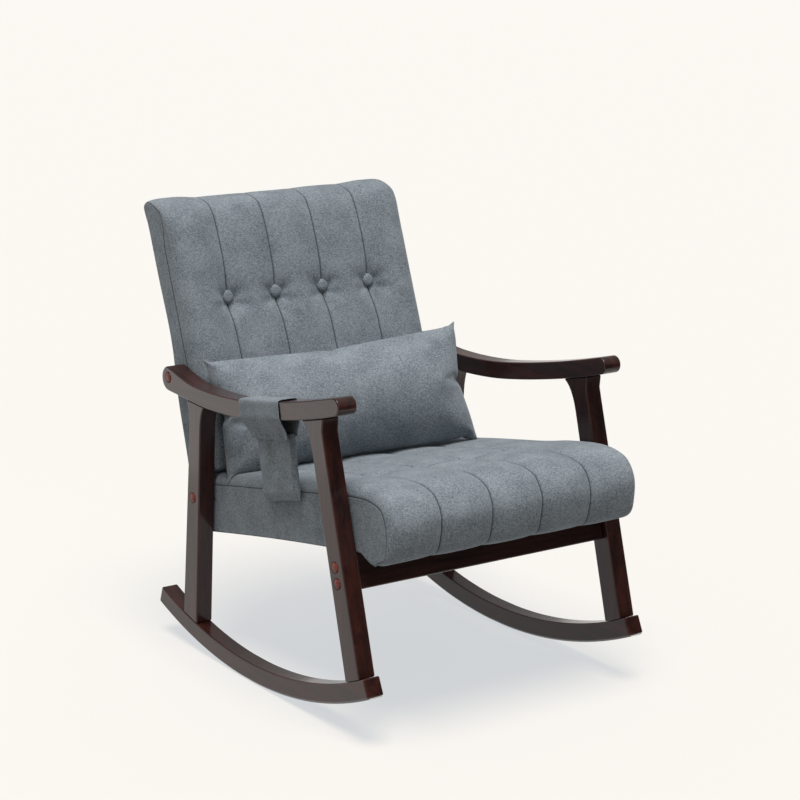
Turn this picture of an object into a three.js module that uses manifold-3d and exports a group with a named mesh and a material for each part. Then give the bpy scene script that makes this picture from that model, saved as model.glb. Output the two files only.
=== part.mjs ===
// A rocking chair: two side frames of solid wood stand on curved rockers and carry a bolted-in
// upholstered seat and back, with a loose lumbar pillow and a cloth pocket hung on one armrest.
// Millimetres. +X to the sitter's left hand, -Y to the front, +Z up. The origin is on the floor,
// in the middle of the chair's outline seen from above.
import * as THREE from "three";
import { mergeVertices } from "three/addons/utils/BufferGeometryUtils.js";
import Module from "manifold-3d";

const wasm = await Module();
wasm.setup();

// ---- driving dimensions ----
const FRAME_WIDTH = 610; // over the outer faces of the legs
const GAP = 0.3; // left between pieces that touch

const LEG_THICK = 34; // legs and rockers, across the chair
const ROCKER_RADIUS = 1000; // of the curve that rolls on the floor
const ROCKER_CENTRE_Y = 0; // the point of the rockers that touches the floor
const ROCKER_DEPTH = 34;
const ROCKER_FRONT_ARC = 24.55; // degrees, ahead of the touching point
const ROCKER_REAR_ARC = 19.65;
const ROCKER_FACET = 1.3; // degrees of arc in one flat
const ROCKER_REST_FLAT = 3; // degrees of arc in the wider flat that lies on the floor at rest
const STRIP_THICK = 2; // anti-slip strip under each rocker
const STRIP_WIDTH = 26;

const FRONT_LEG_FOOT_Y = -343.5; // rear edge of the front leg where it meets the rocker
const FRONT_LEG_DEPTH = 44;
const FRONT_LEG_RAKE = 0.262; // rearward run for each unit of height
const FRONT_LEG_FLARE = 20; // how far the leg's top widens to the rear
const REAR_LEG_FOOT_Y = 186; // front edge of the rear leg where it meets the rocker
const REAR_LEG_FOOT_DEPTH = 51;
const REAR_LEG_NECK_DEPTH = 41;
const REAR_LEG_NECK_Y = 157;
const REAR_LEG_NECK_Z = 440;
const REAR_LEG_FLARE = 16;

const ARM_OVERHANG = 2; // outside the legs
const ARM_FIT = 0.6; // between an armrest and the side of the back
const ARM_THICK = 34;
const ARM_REAR_RADIUS = 23.5;
const ARM_FRONT_RADIUS = 16;
const ARM_REAR_Y = 275; // centre of the round rear end
const ARM_REAR_Z = 521.5;
const ARM_FRONT_Y = -314.5; // centre of the round front end
const ARM_FRONT_Z = 583;

const STRETCHER_THICK = 22;
const STRETCHER_HEIGHT = 65;
const STRETCHER_BOTTOM_Z = 256;

const BOLT_RADIUS = 3;
const BOLT_HEAD_RADIUS = 7.5;
const BOLT_HEAD = 4.5;
const BOLT_GRIP = 20; // thread that runs into the rail behind
const BOLT_CLEARANCE = 0.4;
const COVER_RADIUS = 9.3;
const COVER_PROUD = 1.8;
const COVER_DEPTH = 3.8;
const SINK_DEPTH = 9; // counterbore that takes the head and the cover
const BOLT_SPACING = 29; // between the two bolts of a front leg
const REAR_BOLT_Y = 190.5;
const REAR_BOLT_Z = 305;

const DOWEL_RADIUS = 4;
const DOWEL_LENGTH = 36;

const SEAT_TILT = 10; // degrees, front edge up
const SEAT_BASE_Z = 266; // underside of the seat above the origin
const SIDE_FIT = 3; // between the legs and the sides of the seat and back
const SKIN = 5.4; // padded cover beside the wooden rails
const SEAT_REAR = 212; // in the seat's own tilted frame from here on
const SEAT_RAIL_FRONT = -321.5;
const SEAT_REAR_SKIN = 6;
const RAIL_THICK = 21.5;
const RAIL_BOTTOM = 4;
const RAIL_HEIGHT = 80;
const WEBBING_THICK = 2;
const SEAT_WEBBING_WIDTH = 60;
const SEAT_WEBBING_PITCH = 125;
const DUST_COVER_THICK = 1.2;

const BACK_TOP_Z = 849;
const BACK_RAKE = 0.44; // rearward run of the upper back for each unit of height
const BACK_PANEL_THICK = 2.5;
const BACK_FRAME_DROP = 49; // from the top of the back to the top of its frame
const BACK_TOP_RAIL_HEIGHT = 34;
const BACK_FRAME_LOW = 252;
const BACK_LOW_RAIL_HIGH = 296;
const BACK_WEBBING_WIDTH = 50;
const BACK_WEBBING_HEIGHTS = [450, 590];

const BUTTON_RADIUS = 13;
const BUTTON_HEIGHT = 8;
const BUTTON_PITCH = 108;
const BUTTON_Y = 297;
const BUTTON_Z = 661;
const BUTTON_LEAN = 15; // degrees that the button's face looks up

const PILLOW_LENGTH = 505;
const PILLOW_HEIGHT = 228;
const PILLOW_THICK = 104;
const PILLOW_EDGE = 84; // how far the round edge reaches in
const PILLOW_CORE = 8; // flat band left round its edge
const PILLOW_CENTRE = new THREE.Vector3(-4, 112, 484);
const PILLOW_YAW = -13; // degrees: the end at +X stands forward
const PILLOW_LEAN = 22; // degrees back from upright
const PILLOW_ROLL = 4; // degrees: the end at +X stands higher

const POCKET_CENTRE_Y = -72; // along the armrest
const BAND_WIDTH = 140;
const CLOTH = 1.5;
const BAND_LOOSE = 0.4; // between the band and the armrest
const FLAP_DROP = 37; // from the armrest's underside to the flap's hem
const POUCH_WIDTH = 126;
const POUCH_TOP_DROP = 26;
const POUCH_HEIGHT = 124;
const POUCH_THICK = 12;
const POUCH_FIT = 4.6; // between the pouch and the side of the seat

// ---- materials ----
const finish = (color, roughness, metalness = 0) =>
  new THREE.MeshStandardMaterial({ color, roughness, metalness });
const espressoWood = finish(0x2a1512, 0.3);
const coverWood = finish(0x7a2c20, 0.4);
const beech = finish(0xc9a878, 0.7);
const greyLinen = finish(0x5d666e, 0.95);
const blackCloth = finish(0x1c1c1e, 0.9);
const webbingCloth = finish(0x3a3a36, 0.85);
const zincSteel = finish(0xa9abae, 0.35, 1);
const clearRubber = finish(0xb9b9b4, 0.5);

const chair = new THREE.Group();
chair.name = "rocking_chair";

// ---- helpers: solids ----
const rad = THREE.MathUtils.degToRad;
const halfWidth = FRAME_WIDTH / 2;
const legInner = halfWidth - LEG_THICK;
const coverHalf = legInner - SIDE_FIT;
const armInner = coverHalf + ARM_FIT;
const armOuter = halfWidth + ARM_OVERHANG;
const railOuter = coverHalf - SKIN - 0.4;

// Local x, y, z of an extruded outline become the chair's Y, Z, X.
const sideways = new THREE.Quaternion().setFromRotationMatrix(
  new THREE.Matrix4().makeBasis(
    new THREE.Vector3(0, 1, 0),
    new THREE.Vector3(0, 0, 1),
    new THREE.Vector3(1, 0, 0),
  ),
);

function add(parent, name, geometry, material) {
  const mesh = new THREE.Mesh(geometry, material);
  mesh.name = name;
  parent.add(mesh);
  return mesh;
}

// A side-view outline (points of Y and Z) swept across the chair from xLow to xHigh.
function plank(parent, name, points, xLow, xHigh, material) {
  const shape = new THREE.Shape(points);
  const geometry = new THREE.ExtrudeGeometry(shape, {
    depth: xHigh - xLow,
    bevelEnabled: false,
  });
  const mesh = add(parent, name, geometry, material);
  mesh.quaternion.copy(sideways);
  mesh.position.x = xLow;
  return mesh;
}

function block(parent, name, low, high, material) {
  const size = high.map((value, i) => value - low[i]);
  const mesh = add(parent, name, new THREE.BoxGeometry(...size), material);
  mesh.position.set(...high.map((value, i) => (value + low[i]) / 2));
  return mesh;
}

// A closed mesh as a manifold solid, in the coordinates of the frame given.
function solidOf(mesh, frameInverse) {
  mesh.updateWorldMatrix(true, false);
  const geometry = mesh.geometry.clone();
  geometry.deleteAttribute("normal");
  geometry.deleteAttribute("uv");
  geometry.applyMatrix4(mesh.matrixWorld).applyMatrix4(frameInverse);
  const merged = mergeVertices(geometry, 1e-3);
  return new wasm.Manifold(
    new wasm.Mesh({
      numProp: 3,
      vertProperties: merged.attributes.position.array,
      triVerts: new Uint32Array(merged.index.array),
    }),
  );
}

// Cuts the tool meshes out of the mesh; the tools stand in the chair's own frame.
function cut(mesh, tools) {
  mesh.updateWorldMatrix(true, false);
  const inverse = mesh.matrixWorld.clone().invert();
  let solid = solidOf(mesh, inverse);
  for (const tool of tools) solid = solid.subtract(solidOf(tool, inverse));
  const { vertProperties, triVerts } = solid.getMesh();
  mesh.geometry = new THREE.BufferGeometry()
    .setAttribute("position", new THREE.BufferAttribute(vertProperties, 3))
    .setIndex(new THREE.BufferAttribute(triVerts, 1));
}

// A round tool or peg between two points of the chair.
function rod(from, to, radius, sides = 16) {
  const along = new THREE.Vector3().subVectors(to, from);
  const mesh = new THREE.Mesh(
    new THREE.CylinderGeometry(radius, radius, along.length(), sides),
  );
  mesh.position.addVectors(from, to).multiplyScalar(0.5);
  mesh.quaternion.setFromUnitVectors(
    new THREE.Vector3(0, 1, 0),
    along.normalize(),
  );
  return mesh;
}

// ---- helpers: outlines ----
const at = (y, z) => new THREE.Vector2(y, z);

// Height of a smooth curve, drawn from front to rear, at one Y.
function heightOn(curvePoints, y) {
  const i = curvePoints.findIndex((p) => p.x >= y);
  const a = curvePoints[Math.max(i - 1, 0)];
  const b = curvePoints[Math.max(i, 1)];
  return a.y + ((b.y - a.y) * (y - a.x)) / (b.x - a.x);
}

// Y of a smooth curve, drawn from the bottom up, at one height.
function depthOn(curvePoints, z) {
  const i = curvePoints.findIndex((p) => p.y >= z);
  const a = curvePoints[Math.max(i - 1, 0)];
  const b = curvePoints[Math.max(i, 1)];
  return a.x + ((b.x - a.x) * (z - a.y)) / (b.y - a.y);
}

const smooth = (points, steps) => new THREE.SplineCurve(points).getPoints(steps);

function arc(centre, radius, fromDegrees, toDegrees, steps) {
  const points = [];
  for (let i = 0; i <= steps; i++) {
    const angle = rad(fromDegrees + ((toDegrees - fromDegrees) * i) / steps);
    points.push(
      at(centre.x + radius * Math.cos(angle), centre.y + radius * Math.sin(angle)),
    );
  }
  return points;
}

// ---- rockers and their strips ----
const restHalf = ROCKER_REST_FLAT / 2;
const rockerCentre = at(ROCKER_CENTRE_Y, ROCKER_RADIUS * Math.cos(rad(restHalf)));
const rockerUnder = ROCKER_RADIUS - STRIP_THICK - GAP;
const rockerOver = rockerUnder - ROCKER_DEPTH;

// A stretch of arc below the rockers' centre, from the front end to the rear end, in flats.
function rockerArc(radius) {
  const frontFlats = Math.round((ROCKER_FRONT_ARC - restHalf) / ROCKER_FACET);
  const rearFlats = Math.round((ROCKER_REAR_ARC - restHalf) / ROCKER_FACET);
  return [
    ...arc(rockerCentre, radius, -90 - ROCKER_FRONT_ARC, -90 - restHalf, frontFlats),
    ...arc(rockerCentre, radius, -90 + restHalf, -90 + ROCKER_REAR_ARC, rearFlats),
  ];
}

const rockerBand = (outerRadius, innerRadius) => [
  ...rockerArc(outerRadius),
  ...rockerArc(innerRadius).reverse(),
];

const rockerTopAt = (y) =>
  rockerCentre.y - Math.sqrt(rockerOver ** 2 - (y - rockerCentre.x) ** 2);

function rockerLine(yFrom, yTo, steps) {
  const points = [];
  for (let i = 0; i <= steps; i++) {
    const y = yFrom + ((yTo - yFrom) * i) / steps;
    points.push(at(y, rockerTopAt(y) + GAP));
  }
  return points;
}

// ---- armrest outline ----
const armUnder = smooth(
  [
    at(ARM_FRONT_Y - 3, ARM_FRONT_Z - ARM_FRONT_RADIUS + 0.4),
    at(-270, 554),
    at(-204, 538),
    at(-136, 523.5),
    at(-70, 511),
    at(0, 500),
    at(65, 494),
    at(130, 491.5),
    at(195, 494),
    at(ARM_REAR_Y, ARM_REAR_Z - ARM_REAR_RADIUS),
  ],
  30,
);
const armFrontEnd = at(ARM_FRONT_Y, ARM_FRONT_Z);
const armRearEnd = at(ARM_REAR_Y, ARM_REAR_Z);
const armOver = smooth(
  [
    at(ARM_REAR_Y, ARM_REAR_Z + ARM_REAR_RADIUS),
    ...[195, 130, 65, 0, -70, -136, -204, -270].map((y) =>
      at(y, heightOn(armUnder, y) + ARM_THICK),
    ),
    armFrontEnd.clone().add(at(4, ARM_FRONT_RADIUS - 0.5)),
  ],
  30,
);
const armOutline = [
  ...armUnder.slice(0, -1),
  ...arc(armRearEnd, ARM_REAR_RADIUS, -90, 90, 10),
  ...armOver.slice(1),
  ...arc(armFrontEnd, ARM_FRONT_RADIUS, 95, 245, 8),
];
const armLine = (yFrom, yTo, steps) => {
  const points = [];
  for (let i = 0; i <= steps; i++) {
    const y = yFrom + ((yTo - yFrom) * i) / steps;
    points.push(at(y, heightOn(armUnder, y) - GAP));
  }
  return points;
};

// ---- leg outlines ----
const frontLegRearY = (z) =>
  FRONT_LEG_FOOT_Y + FRONT_LEG_RAKE * (z - rockerTopAt(FRONT_LEG_FOOT_Y));
const frontLegMidY = (z) => frontLegRearY(z) - FRONT_LEG_DEPTH / 2;
const frontLegTopY = frontLegRearY(heightOn(armUnder, -230));
const frontLegOutline = (() => {
  const footFrontY = FRONT_LEG_FOOT_Y - FRONT_LEG_DEPTH;
  const flareStart = heightOn(armUnder, frontLegTopY) - 62;
  const rearTop = frontLegTopY + FRONT_LEG_FLARE;
  const frontTop = frontLegTopY - FRONT_LEG_DEPTH - 6;
  const flare = new THREE.QuadraticBezierCurve(
    at(frontLegRearY(flareStart), flareStart),
    at(frontLegRearY(flareStart + 46), flareStart + 46),
    at(rearTop, heightOn(armUnder, rearTop) - GAP),
  ).getPoints(6);
  return [
    ...rockerLine(footFrontY, FRONT_LEG_FOOT_Y, 3),
    ...flare,
    ...armLine(rearTop, frontTop, 4).slice(1),
    at(frontLegRearY(532) - FRONT_LEG_DEPTH, 532),
    at(frontLegRearY(508) - FRONT_LEG_DEPTH, 508),
  ];
})();
const rearLegOutline = (() => {
  const footRearY = REAR_LEG_FOOT_Y + REAR_LEG_FOOT_DEPTH;
  const neckRearY = REAR_LEG_NECK_Y + REAR_LEG_NECK_DEPTH;
  const frontTop = REAR_LEG_NECK_Y - REAR_LEG_FLARE;
  const rearTop = neckRearY + REAR_LEG_FLARE / 2;
  const rearFlare = new THREE.QuadraticBezierCurve(
    at(neckRearY, REAR_LEG_NECK_Z),
    at(neckRearY - 1, REAR_LEG_NECK_Z + 38),
    at(rearTop, heightOn(armUnder, rearTop) - GAP),
  ).getPoints(5);
  const frontFlare = new THREE.QuadraticBezierCurve(
    at(frontTop, heightOn(armUnder, frontTop) - GAP),
    at(REAR_LEG_NECK_Y - 3, REAR_LEG_NECK_Z + 38),
    at(REAR_LEG_NECK_Y, REAR_LEG_NECK_Z),
  ).getPoints(5);
  return [
    ...rockerLine(REAR_LEG_FOOT_Y, footRearY, 3),
    ...rearFlare,
    ...armLine(rearTop, frontTop, 4).slice(1, -1),
    ...frontFlare,
  ];
})();

// ---- seat outline, in its own tilted frame ----
const seat = new THREE.Group();
seat.position.z = SEAT_BASE_Z;
seat.rotation.x = rad(-SEAT_TILT);
chair.add(seat);

// The top runs forward from the back, dips at the row of tufts, and rolls over the front edge.
const seatTop = smooth(
  [
    at(SEAT_REAR, 108),
    at(100, 114),
    at(0, 119),
    at(-120, 121),
    at(-190, 115),
    at(-228, 104),
    at(-268, 114),
    at(-320, 123),
    at(-380, 120),
    at(-425, 96),
    at(-447, 52),
    at(-442, 14),
    at(-424, -12),
    at(-400, -18),
  ],
  44,
);
const seatOutline = [at(-345, 0), at(SEAT_REAR, 0), ...seatTop];

// ---- back outlines ----
// The crown is the highest line of the back; the upper back is drawn from it, so that a taller
// back keeps its rake.
const WAIST_TO_CROWN = 188; // height of the crown above the buttons on this chair
const crownLift = BACK_TOP_Z - BUTTON_Z - WAIST_TO_CROWN;
const crown = at(401 + BACK_RAKE * crownLift, BACK_TOP_Z);
const fromCrown = (y, z) => at(crown.x + y, crown.y + z);
const backFrameTop = BACK_TOP_Z - BACK_FRAME_DROP;
const backRear = smooth(
  [
    at(252, 246),
    at(264, 300),
    at(283, 373),
    at(311, 470),
    at(322, 530),
    at(331, 572),
    at(347, 619),
    at(381, 701),
    fromCrown(13, -62),
    fromCrown(26, -37),
  ],
  26,
);
const backFront = smooth(
  [
    fromCrown(26, -37),
    fromCrown(33, -21),
    fromCrown(21, -7),
    crown,
    fromCrown(-27, -3),
    fromCrown(-51, -17),
    fromCrown(-69, -46),
    fromCrown(-83, -85),
    at(305, 712),
    at(301, 661),
    at(286, 636),
    at(258, 590),
    at(236, 545),
    at(206, 470),
    at(182, 410),
    at(166, 362),
  ],
  44,
);
const backTail = [at(231, 346), at(214, 247)];
const backOutline = [...backRear, ...backFront.slice(1), ...backTail];

// Front limit of the wooden back frame inside the padding.
const backFrame = smooth(
  [
    at(217, 249),
    at(232, 335),
    at(238, 400),
    at(246, 470),
    at(254, 530),
    at(268, 575),
    at(288, 619),
    at(308, 661),
    at(324, 701),
    fromCrown(-43, -62),
    fromCrown(-35, -43),
  ],
  22,
);

// Closed outline between two upright curves, each moved rearward by its own amount.
function between(frontCurve, frontMove, rearCurve, rearMove, zLow, zHigh, steps) {
  const front = [];
  const rear = [];
  for (let i = 0; i <= steps; i++) {
    const z = zLow + ((zHigh - zLow) * i) / steps;
    rear.push(at(depthOn(rearCurve, z) + rearMove, z));
    front.unshift(at(depthOn(frontCurve, z) + frontMove, z));
  }
  return [...rear, ...front];
}

// ---- side frames ----
const stretcherTilt = Math.atan(FRONT_LEG_RAKE);
const stretcherMidZ =
  STRETCHER_BOTTOM_Z + (STRETCHER_HEIGHT / 2) * Math.cos(stretcherTilt);
const frontBoltZ = [-1, 1].map(
  (s) =>
    stretcherMidZ - 2 + ((s * BOLT_SPACING) / 2) * Math.cos(stretcherTilt),
);

// Bolts of one side: name, place in side view, how far out the outer face is, where the grip starts.
const boltPlaces = [
  {
    name: "front_bolt_lower",
    y: frontLegMidY(frontBoltZ[0]),
    z: frontBoltZ[0],
    face: halfWidth,
    grip: legInner,
  },
  {
    name: "front_bolt_upper",
    y: frontLegMidY(frontBoltZ[1]),
    z: frontBoltZ[1],
    face: halfWidth,
    grip: legInner,
  },
  {
    name: "rear_bolt",
    y: REAR_BOLT_Y,
    z: REAR_BOLT_Z,
    face: halfWidth,
    grip: railOuter,
  },
  {
    name: "arm_bolt",
    y: ARM_REAR_Y - 2,
    z: ARM_REAR_Z + 3,
    face: armOuter,
    grip: railOuter,
  },
];

const across = (side, x, y, z) => new THREE.Vector3(side * x, y, z);

// Holes that one bolt needs: a counterbore at the face and a through hole into the rail.
function boltHoles(side, bolt) {
  const outside = across(side, bolt.face + 1, bolt.y, bolt.z);
  const floor = across(side, bolt.face - SINK_DEPTH, bolt.y, bolt.z);
  const end = across(side, bolt.grip - BOLT_GRIP - 1, bolt.y, bolt.z);
  return [
    rod(outside, floor, COVER_RADIUS + GAP, 20),
    rod(outside, end, BOLT_RADIUS + BOLT_CLEARANCE, 12),
  ];
}

// A lathed piece whose axis lies along X, its base towards the middle of the chair.
function turned(name, profile, side, x, y, z, material, sides) {
  const mesh = add(
    chair,
    name,
    new THREE.LatheGeometry(profile, sides),
    material,
  );
  mesh.rotation.z = -side * (Math.PI / 2);
  mesh.position.set(side * x, y, z);
  return mesh;
}

function addBolt(sideName, side, bolt) {
  const headBase = bolt.face - SINK_DEPTH + GAP;
  const tip = bolt.grip - BOLT_GRIP - headBase;
  turned(
    `${bolt.name}_${sideName}`,
    [
      at(0, tip),
      at(BOLT_RADIUS, tip),
      at(BOLT_RADIUS, 0),
      at(BOLT_HEAD_RADIUS, 0),
      at(BOLT_HEAD_RADIUS * 0.8, BOLT_HEAD),
      at(0, BOLT_HEAD),
    ],
    side,
    headBase,
    bolt.y,
    bolt.z,
    zincSteel,
    12,
  );
  turned(
    `${bolt.name.replace("bolt", "bolt_cover")}_${sideName}`,
    [
      at(0, 0),
      at(COVER_RADIUS, 0),
      at(COVER_RADIUS, COVER_DEPTH),
      at(COVER_RADIUS * 0.8, COVER_DEPTH + COVER_PROUD * 0.8),
      at(0, COVER_DEPTH + COVER_PROUD),
    ],
    side,
    bolt.face - COVER_DEPTH,
    bolt.y,
    bolt.z,
    coverWood,
    20,
  );
}

// Glued dowels: each stands square to the joint between two pieces of a side frame.
const rearLegMidFoot = REAR_LEG_FOOT_Y + REAR_LEG_FOOT_DEPTH / 2;
const frontLegMidFoot = FRONT_LEG_FOOT_Y - FRONT_LEG_DEPTH / 2;
const frontLegMidTop = frontLegTopY - FRONT_LEG_DEPTH / 2 + 4;
const rearLegMidTop = REAR_LEG_NECK_Y + REAR_LEG_NECK_DEPTH / 2 - 2;
const dowelPlaces = [
  {
    name: "front_foot_dowel",
    middle: at(frontLegMidFoot, rockerTopAt(frontLegMidFoot)),
    lean: FRONT_LEG_RAKE,
  },
  {
    name: "rear_foot_dowel",
    middle: at(rearLegMidFoot, rockerTopAt(rearLegMidFoot)),
    lean: -0.1,
  },
  {
    name: "front_arm_dowel",
    middle: at(frontLegMidTop, heightOn(armUnder, frontLegMidTop)),
    lean: FRONT_LEG_RAKE,
  },
  {
    name: "rear_arm_dowel",
    middle: at(rearLegMidTop, heightOn(armUnder, rearLegMidTop)),
    lean: 0,
  },
];

function dowelAt(side, dowel, halfLength, radius) {
  const along = new THREE.Vector3(0, dowel.lean, 1).normalize();
  const middle = across(
    side,
    halfWidth - LEG_THICK / 2,
    dowel.middle.x,
    dowel.middle.y,
  );
  return rod(
    middle.clone().addScaledVector(along, -halfLength),
    middle.clone().addScaledVector(along, halfLength),
    radius,
    12,
  );
}

// A plank given by its distance from the chair's middle, on either side.
function sidePlank(parent, name, points, side, inner, outer, material) {
  const low = side > 0 ? inner : -outer;
  const high = side > 0 ? outer : -inner;
  return plank(parent, name, points, low, high, material);
}

const sides = [
  ["left", 1],
  ["right", -1],
];
const holes = { front: [], rear: [], arm: [] };

for (const [sideName, side] of sides) {
  const piece = (name, points, inner, outer) =>
    sidePlank(
      chair,
      `${name}_${sideName}`,
      points,
      side,
      inner,
      outer,
      espressoWood,
    );
  const rocker = piece(
    "rocker",
    rockerBand(rockerUnder, rockerOver),
    legInner,
    halfWidth,
  );
  const stripInset = (LEG_THICK - STRIP_WIDTH) / 2;
  sidePlank(
    chair,
    `rocker_strip_${sideName}`,
    rockerBand(ROCKER_RADIUS, ROCKER_RADIUS - STRIP_THICK),
    side,
    legInner + stripInset,
    halfWidth - stripInset,
    clearRubber,
  );
  const frontLeg = piece("front_leg", frontLegOutline, legInner, halfWidth);
  const rearLeg = piece("rear_leg", rearLegOutline, legInner, halfWidth);
  const arm = piece("armrest", armOutline, armInner, armOuter);

  const dowelHoles = dowelPlaces.map((dowel) =>
    dowelAt(side, dowel, DOWEL_LENGTH / 2 + 1, DOWEL_RADIUS + GAP),
  );
  for (const dowel of dowelPlaces) {
    const peg = dowelAt(side, dowel, DOWEL_LENGTH / 2, DOWEL_RADIUS);
    peg.name = `${dowel.name}_${sideName}`;
    peg.material = beech;
    chair.add(peg);
  }
  const [lower, upper, rear, armBolt] = boltPlaces.map((bolt) =>
    boltHoles(side, bolt),
  );
  for (const bolt of boltPlaces) addBolt(sideName, side, bolt);
  cut(rocker, [dowelHoles[0], dowelHoles[1]]);
  cut(frontLeg, [dowelHoles[0], dowelHoles[2], ...lower, ...upper]);
  cut(rearLeg, [dowelHoles[1], dowelHoles[3], ...rear]);
  cut(arm, [dowelHoles[2], dowelHoles[3], ...armBolt]);
  holes.front.push(lower[1], upper[1]);
  holes.rear.push(rear[1]);
  holes.arm.push(armBolt[1]);
}

// ---- front stretcher ----
const stretcherMount = new THREE.Group();
stretcherMount.position.set(0, frontLegMidY(stretcherMidZ), stretcherMidZ);
stretcherMount.rotation.x = -stretcherTilt;
chair.add(stretcherMount);
const stretcher = block(
  stretcherMount,
  "front_stretcher",
  [-legInner + GAP, -STRETCHER_THICK / 2, -STRETCHER_HEIGHT / 2],
  [legInner - GAP, STRETCHER_THICK / 2, STRETCHER_HEIGHT / 2],
  espressoWood,
);
cut(stretcher, holes.front);

// ---- seat ----
const railTop = RAIL_BOTTOM + RAIL_HEIGHT;
const seatInsideRear = SEAT_REAR - SEAT_REAR_SKIN;
const railRear = seatInsideRear - 0.5;
const railInner = railOuter - RAIL_THICK;
const webbingBottom = railTop + GAP;
const seatCavityTop = webbingBottom + WEBBING_THICK + 1;

const seatCushion = plank(
  seat,
  "seat_cushion",
  seatOutline,
  -coverHalf,
  coverHalf,
  greyLinen,
);
const seatCavity = block(
  seat,
  "cavity",
  [-railOuter - 0.4, SEAT_RAIL_FRONT - 0.5, -50],
  [railOuter + 0.4, seatInsideRear, seatCavityTop],
  greyLinen,
);
cut(seatCushion, [seatCavity, ...holes.rear]);
seat.remove(seatCavity);

for (const [sideName, side] of sides) {
  const inner = side * railInner;
  const outer = side * railOuter;
  const rail = block(
    seat,
    `seat_side_rail_${sideName}`,
    [Math.min(inner, outer), SEAT_RAIL_FRONT, RAIL_BOTTOM],
    [Math.max(inner, outer), railRear, railTop],
    beech,
  );
  cut(rail, holes.rear);
}
const crossHalf = railInner - GAP;
block(
  seat,
  "seat_front_rail",
  [-crossHalf, SEAT_RAIL_FRONT, RAIL_BOTTOM],
  [crossHalf, SEAT_RAIL_FRONT + RAIL_THICK, railTop],
  beech,
);
block(
  seat,
  "seat_rear_rail",
  [-crossHalf, railRear - RAIL_THICK, RAIL_BOTTOM],
  [crossHalf, railRear, railTop],
  beech,
);
["right", "middle", "left"].forEach((place, i) => {
  const x = (i - 1) * SEAT_WEBBING_PITCH;
  block(
    seat,
    `seat_webbing_${place}`,
    [x - SEAT_WEBBING_WIDTH / 2, SEAT_RAIL_FRONT + 1, webbingBottom],
    [x + SEAT_WEBBING_WIDTH / 2, railRear - 1, webbingBottom + WEBBING_THICK],
    webbingCloth,
  );
});
const dustCoverTop = RAIL_BOTTOM - GAP;
block(
  seat,
  "seat_dust_cover",
  [-railOuter, SEAT_RAIL_FRONT, dustCoverTop - DUST_COVER_THICK],
  [railOuter, railRear, dustCoverTop],
  blackCloth,
);

// ---- back ----
const backCushion = plank(
  chair,
  "back_cushion",
  backOutline,
  -coverHalf,
  coverHalf,
  greyLinen,
);
const backCavityTop = backFrameTop + 1;
const backCavity = plank(
  chair,
  "cavity",
  between(
    backFrame,
    0,
    backRear,
    20,
    BACK_FRAME_LOW - 1,
    backCavityTop,
    20,
  ),
  -railOuter - 0.4,
  railOuter + 0.4,
  greyLinen,
);

const stileFront = WEBBING_THICK + 1.2; // room for the webbing ahead of the stiles
const stileRear = -BACK_PANEL_THICK - 2;
for (const [sideName, side] of sides) {
  const stile = sidePlank(
    chair,
    `back_stile_${sideName}`,
    between(
      backFrame,
      stileFront,
      backRear,
      stileRear,
      BACK_FRAME_LOW,
      backFrameTop,
      20,
    ),
    side,
    railInner,
    railOuter,
    beech,
  );
  cut(stile, holes.arm);
}
const crossRail = (name, zLow, zHigh) =>
  plank(
    chair,
    name,
    between(backFrame, stileFront, backRear, stileRear, zLow, zHigh, 3),
    -crossHalf,
    crossHalf,
    beech,
  );
crossRail("back_top_rail", backFrameTop - BACK_TOP_RAIL_HEIGHT, backFrameTop);
crossRail("back_low_rail", BACK_FRAME_LOW, BACK_LOW_RAIL_HIGH);
["lower", "upper"].forEach((place, i) => {
  const middle = BACK_WEBBING_HEIGHTS[i];
  plank(
    chair,
    `back_webbing_${place}`,
    between(
      backFrame,
      0.6,
      backFrame,
      0.6 + WEBBING_THICK,
      middle - BACK_WEBBING_WIDTH / 2,
      middle + BACK_WEBBING_WIDTH / 2,
      4,
    ),
    -railOuter,
    railOuter,
    webbingCloth,
  );
});
plank(
  chair,
  "back_outer_panel",
  between(
    backRear,
    -BACK_PANEL_THICK,
    backRear,
    0,
    BACK_FRAME_LOW,
    backFrameTop,
    20,
  ),
  -railOuter,
  railOuter,
  greyLinen,
);

// ---- covered buttons, in sockets in the padding ----
const buttonAxis = new THREE.Vector3(0, -1, Math.tan(rad(BUTTON_LEAN))).normalize();
const sockets = [];
["right_outer", "right_inner", "left_inner", "left_outer"].forEach((place, i) => {
  const base = new THREE.Vector3((i - 1.5) * BUTTON_PITCH, BUTTON_Y + 1, BUTTON_Z);
  sockets.push(
    rod(
      base.clone().addScaledVector(buttonAxis, -GAP),
      base.clone().addScaledVector(buttonAxis, 60),
      BUTTON_RADIUS + GAP,
      20,
    ),
  );
  const button = add(
    chair,
    `back_button_${place}`,
    new THREE.LatheGeometry(
      [
        at(0, 0),
        at(BUTTON_RADIUS, 0),
        at(BUTTON_RADIUS, BUTTON_HEIGHT * 0.4),
        at(BUTTON_RADIUS * 0.75, BUTTON_HEIGHT * 0.8),
        at(BUTTON_RADIUS * 0.4, BUTTON_HEIGHT),
        at(0, BUTTON_HEIGHT),
      ],
      20,
    ),
    greyLinen,
  );
  button.position.copy(base);
  button.quaternion.setFromUnitVectors(new THREE.Vector3(0, 1, 0), buttonAxis);
});
cut(backCushion, [backCavity, ...holes.arm, ...sockets]);
chair.remove(backCavity);

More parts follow.
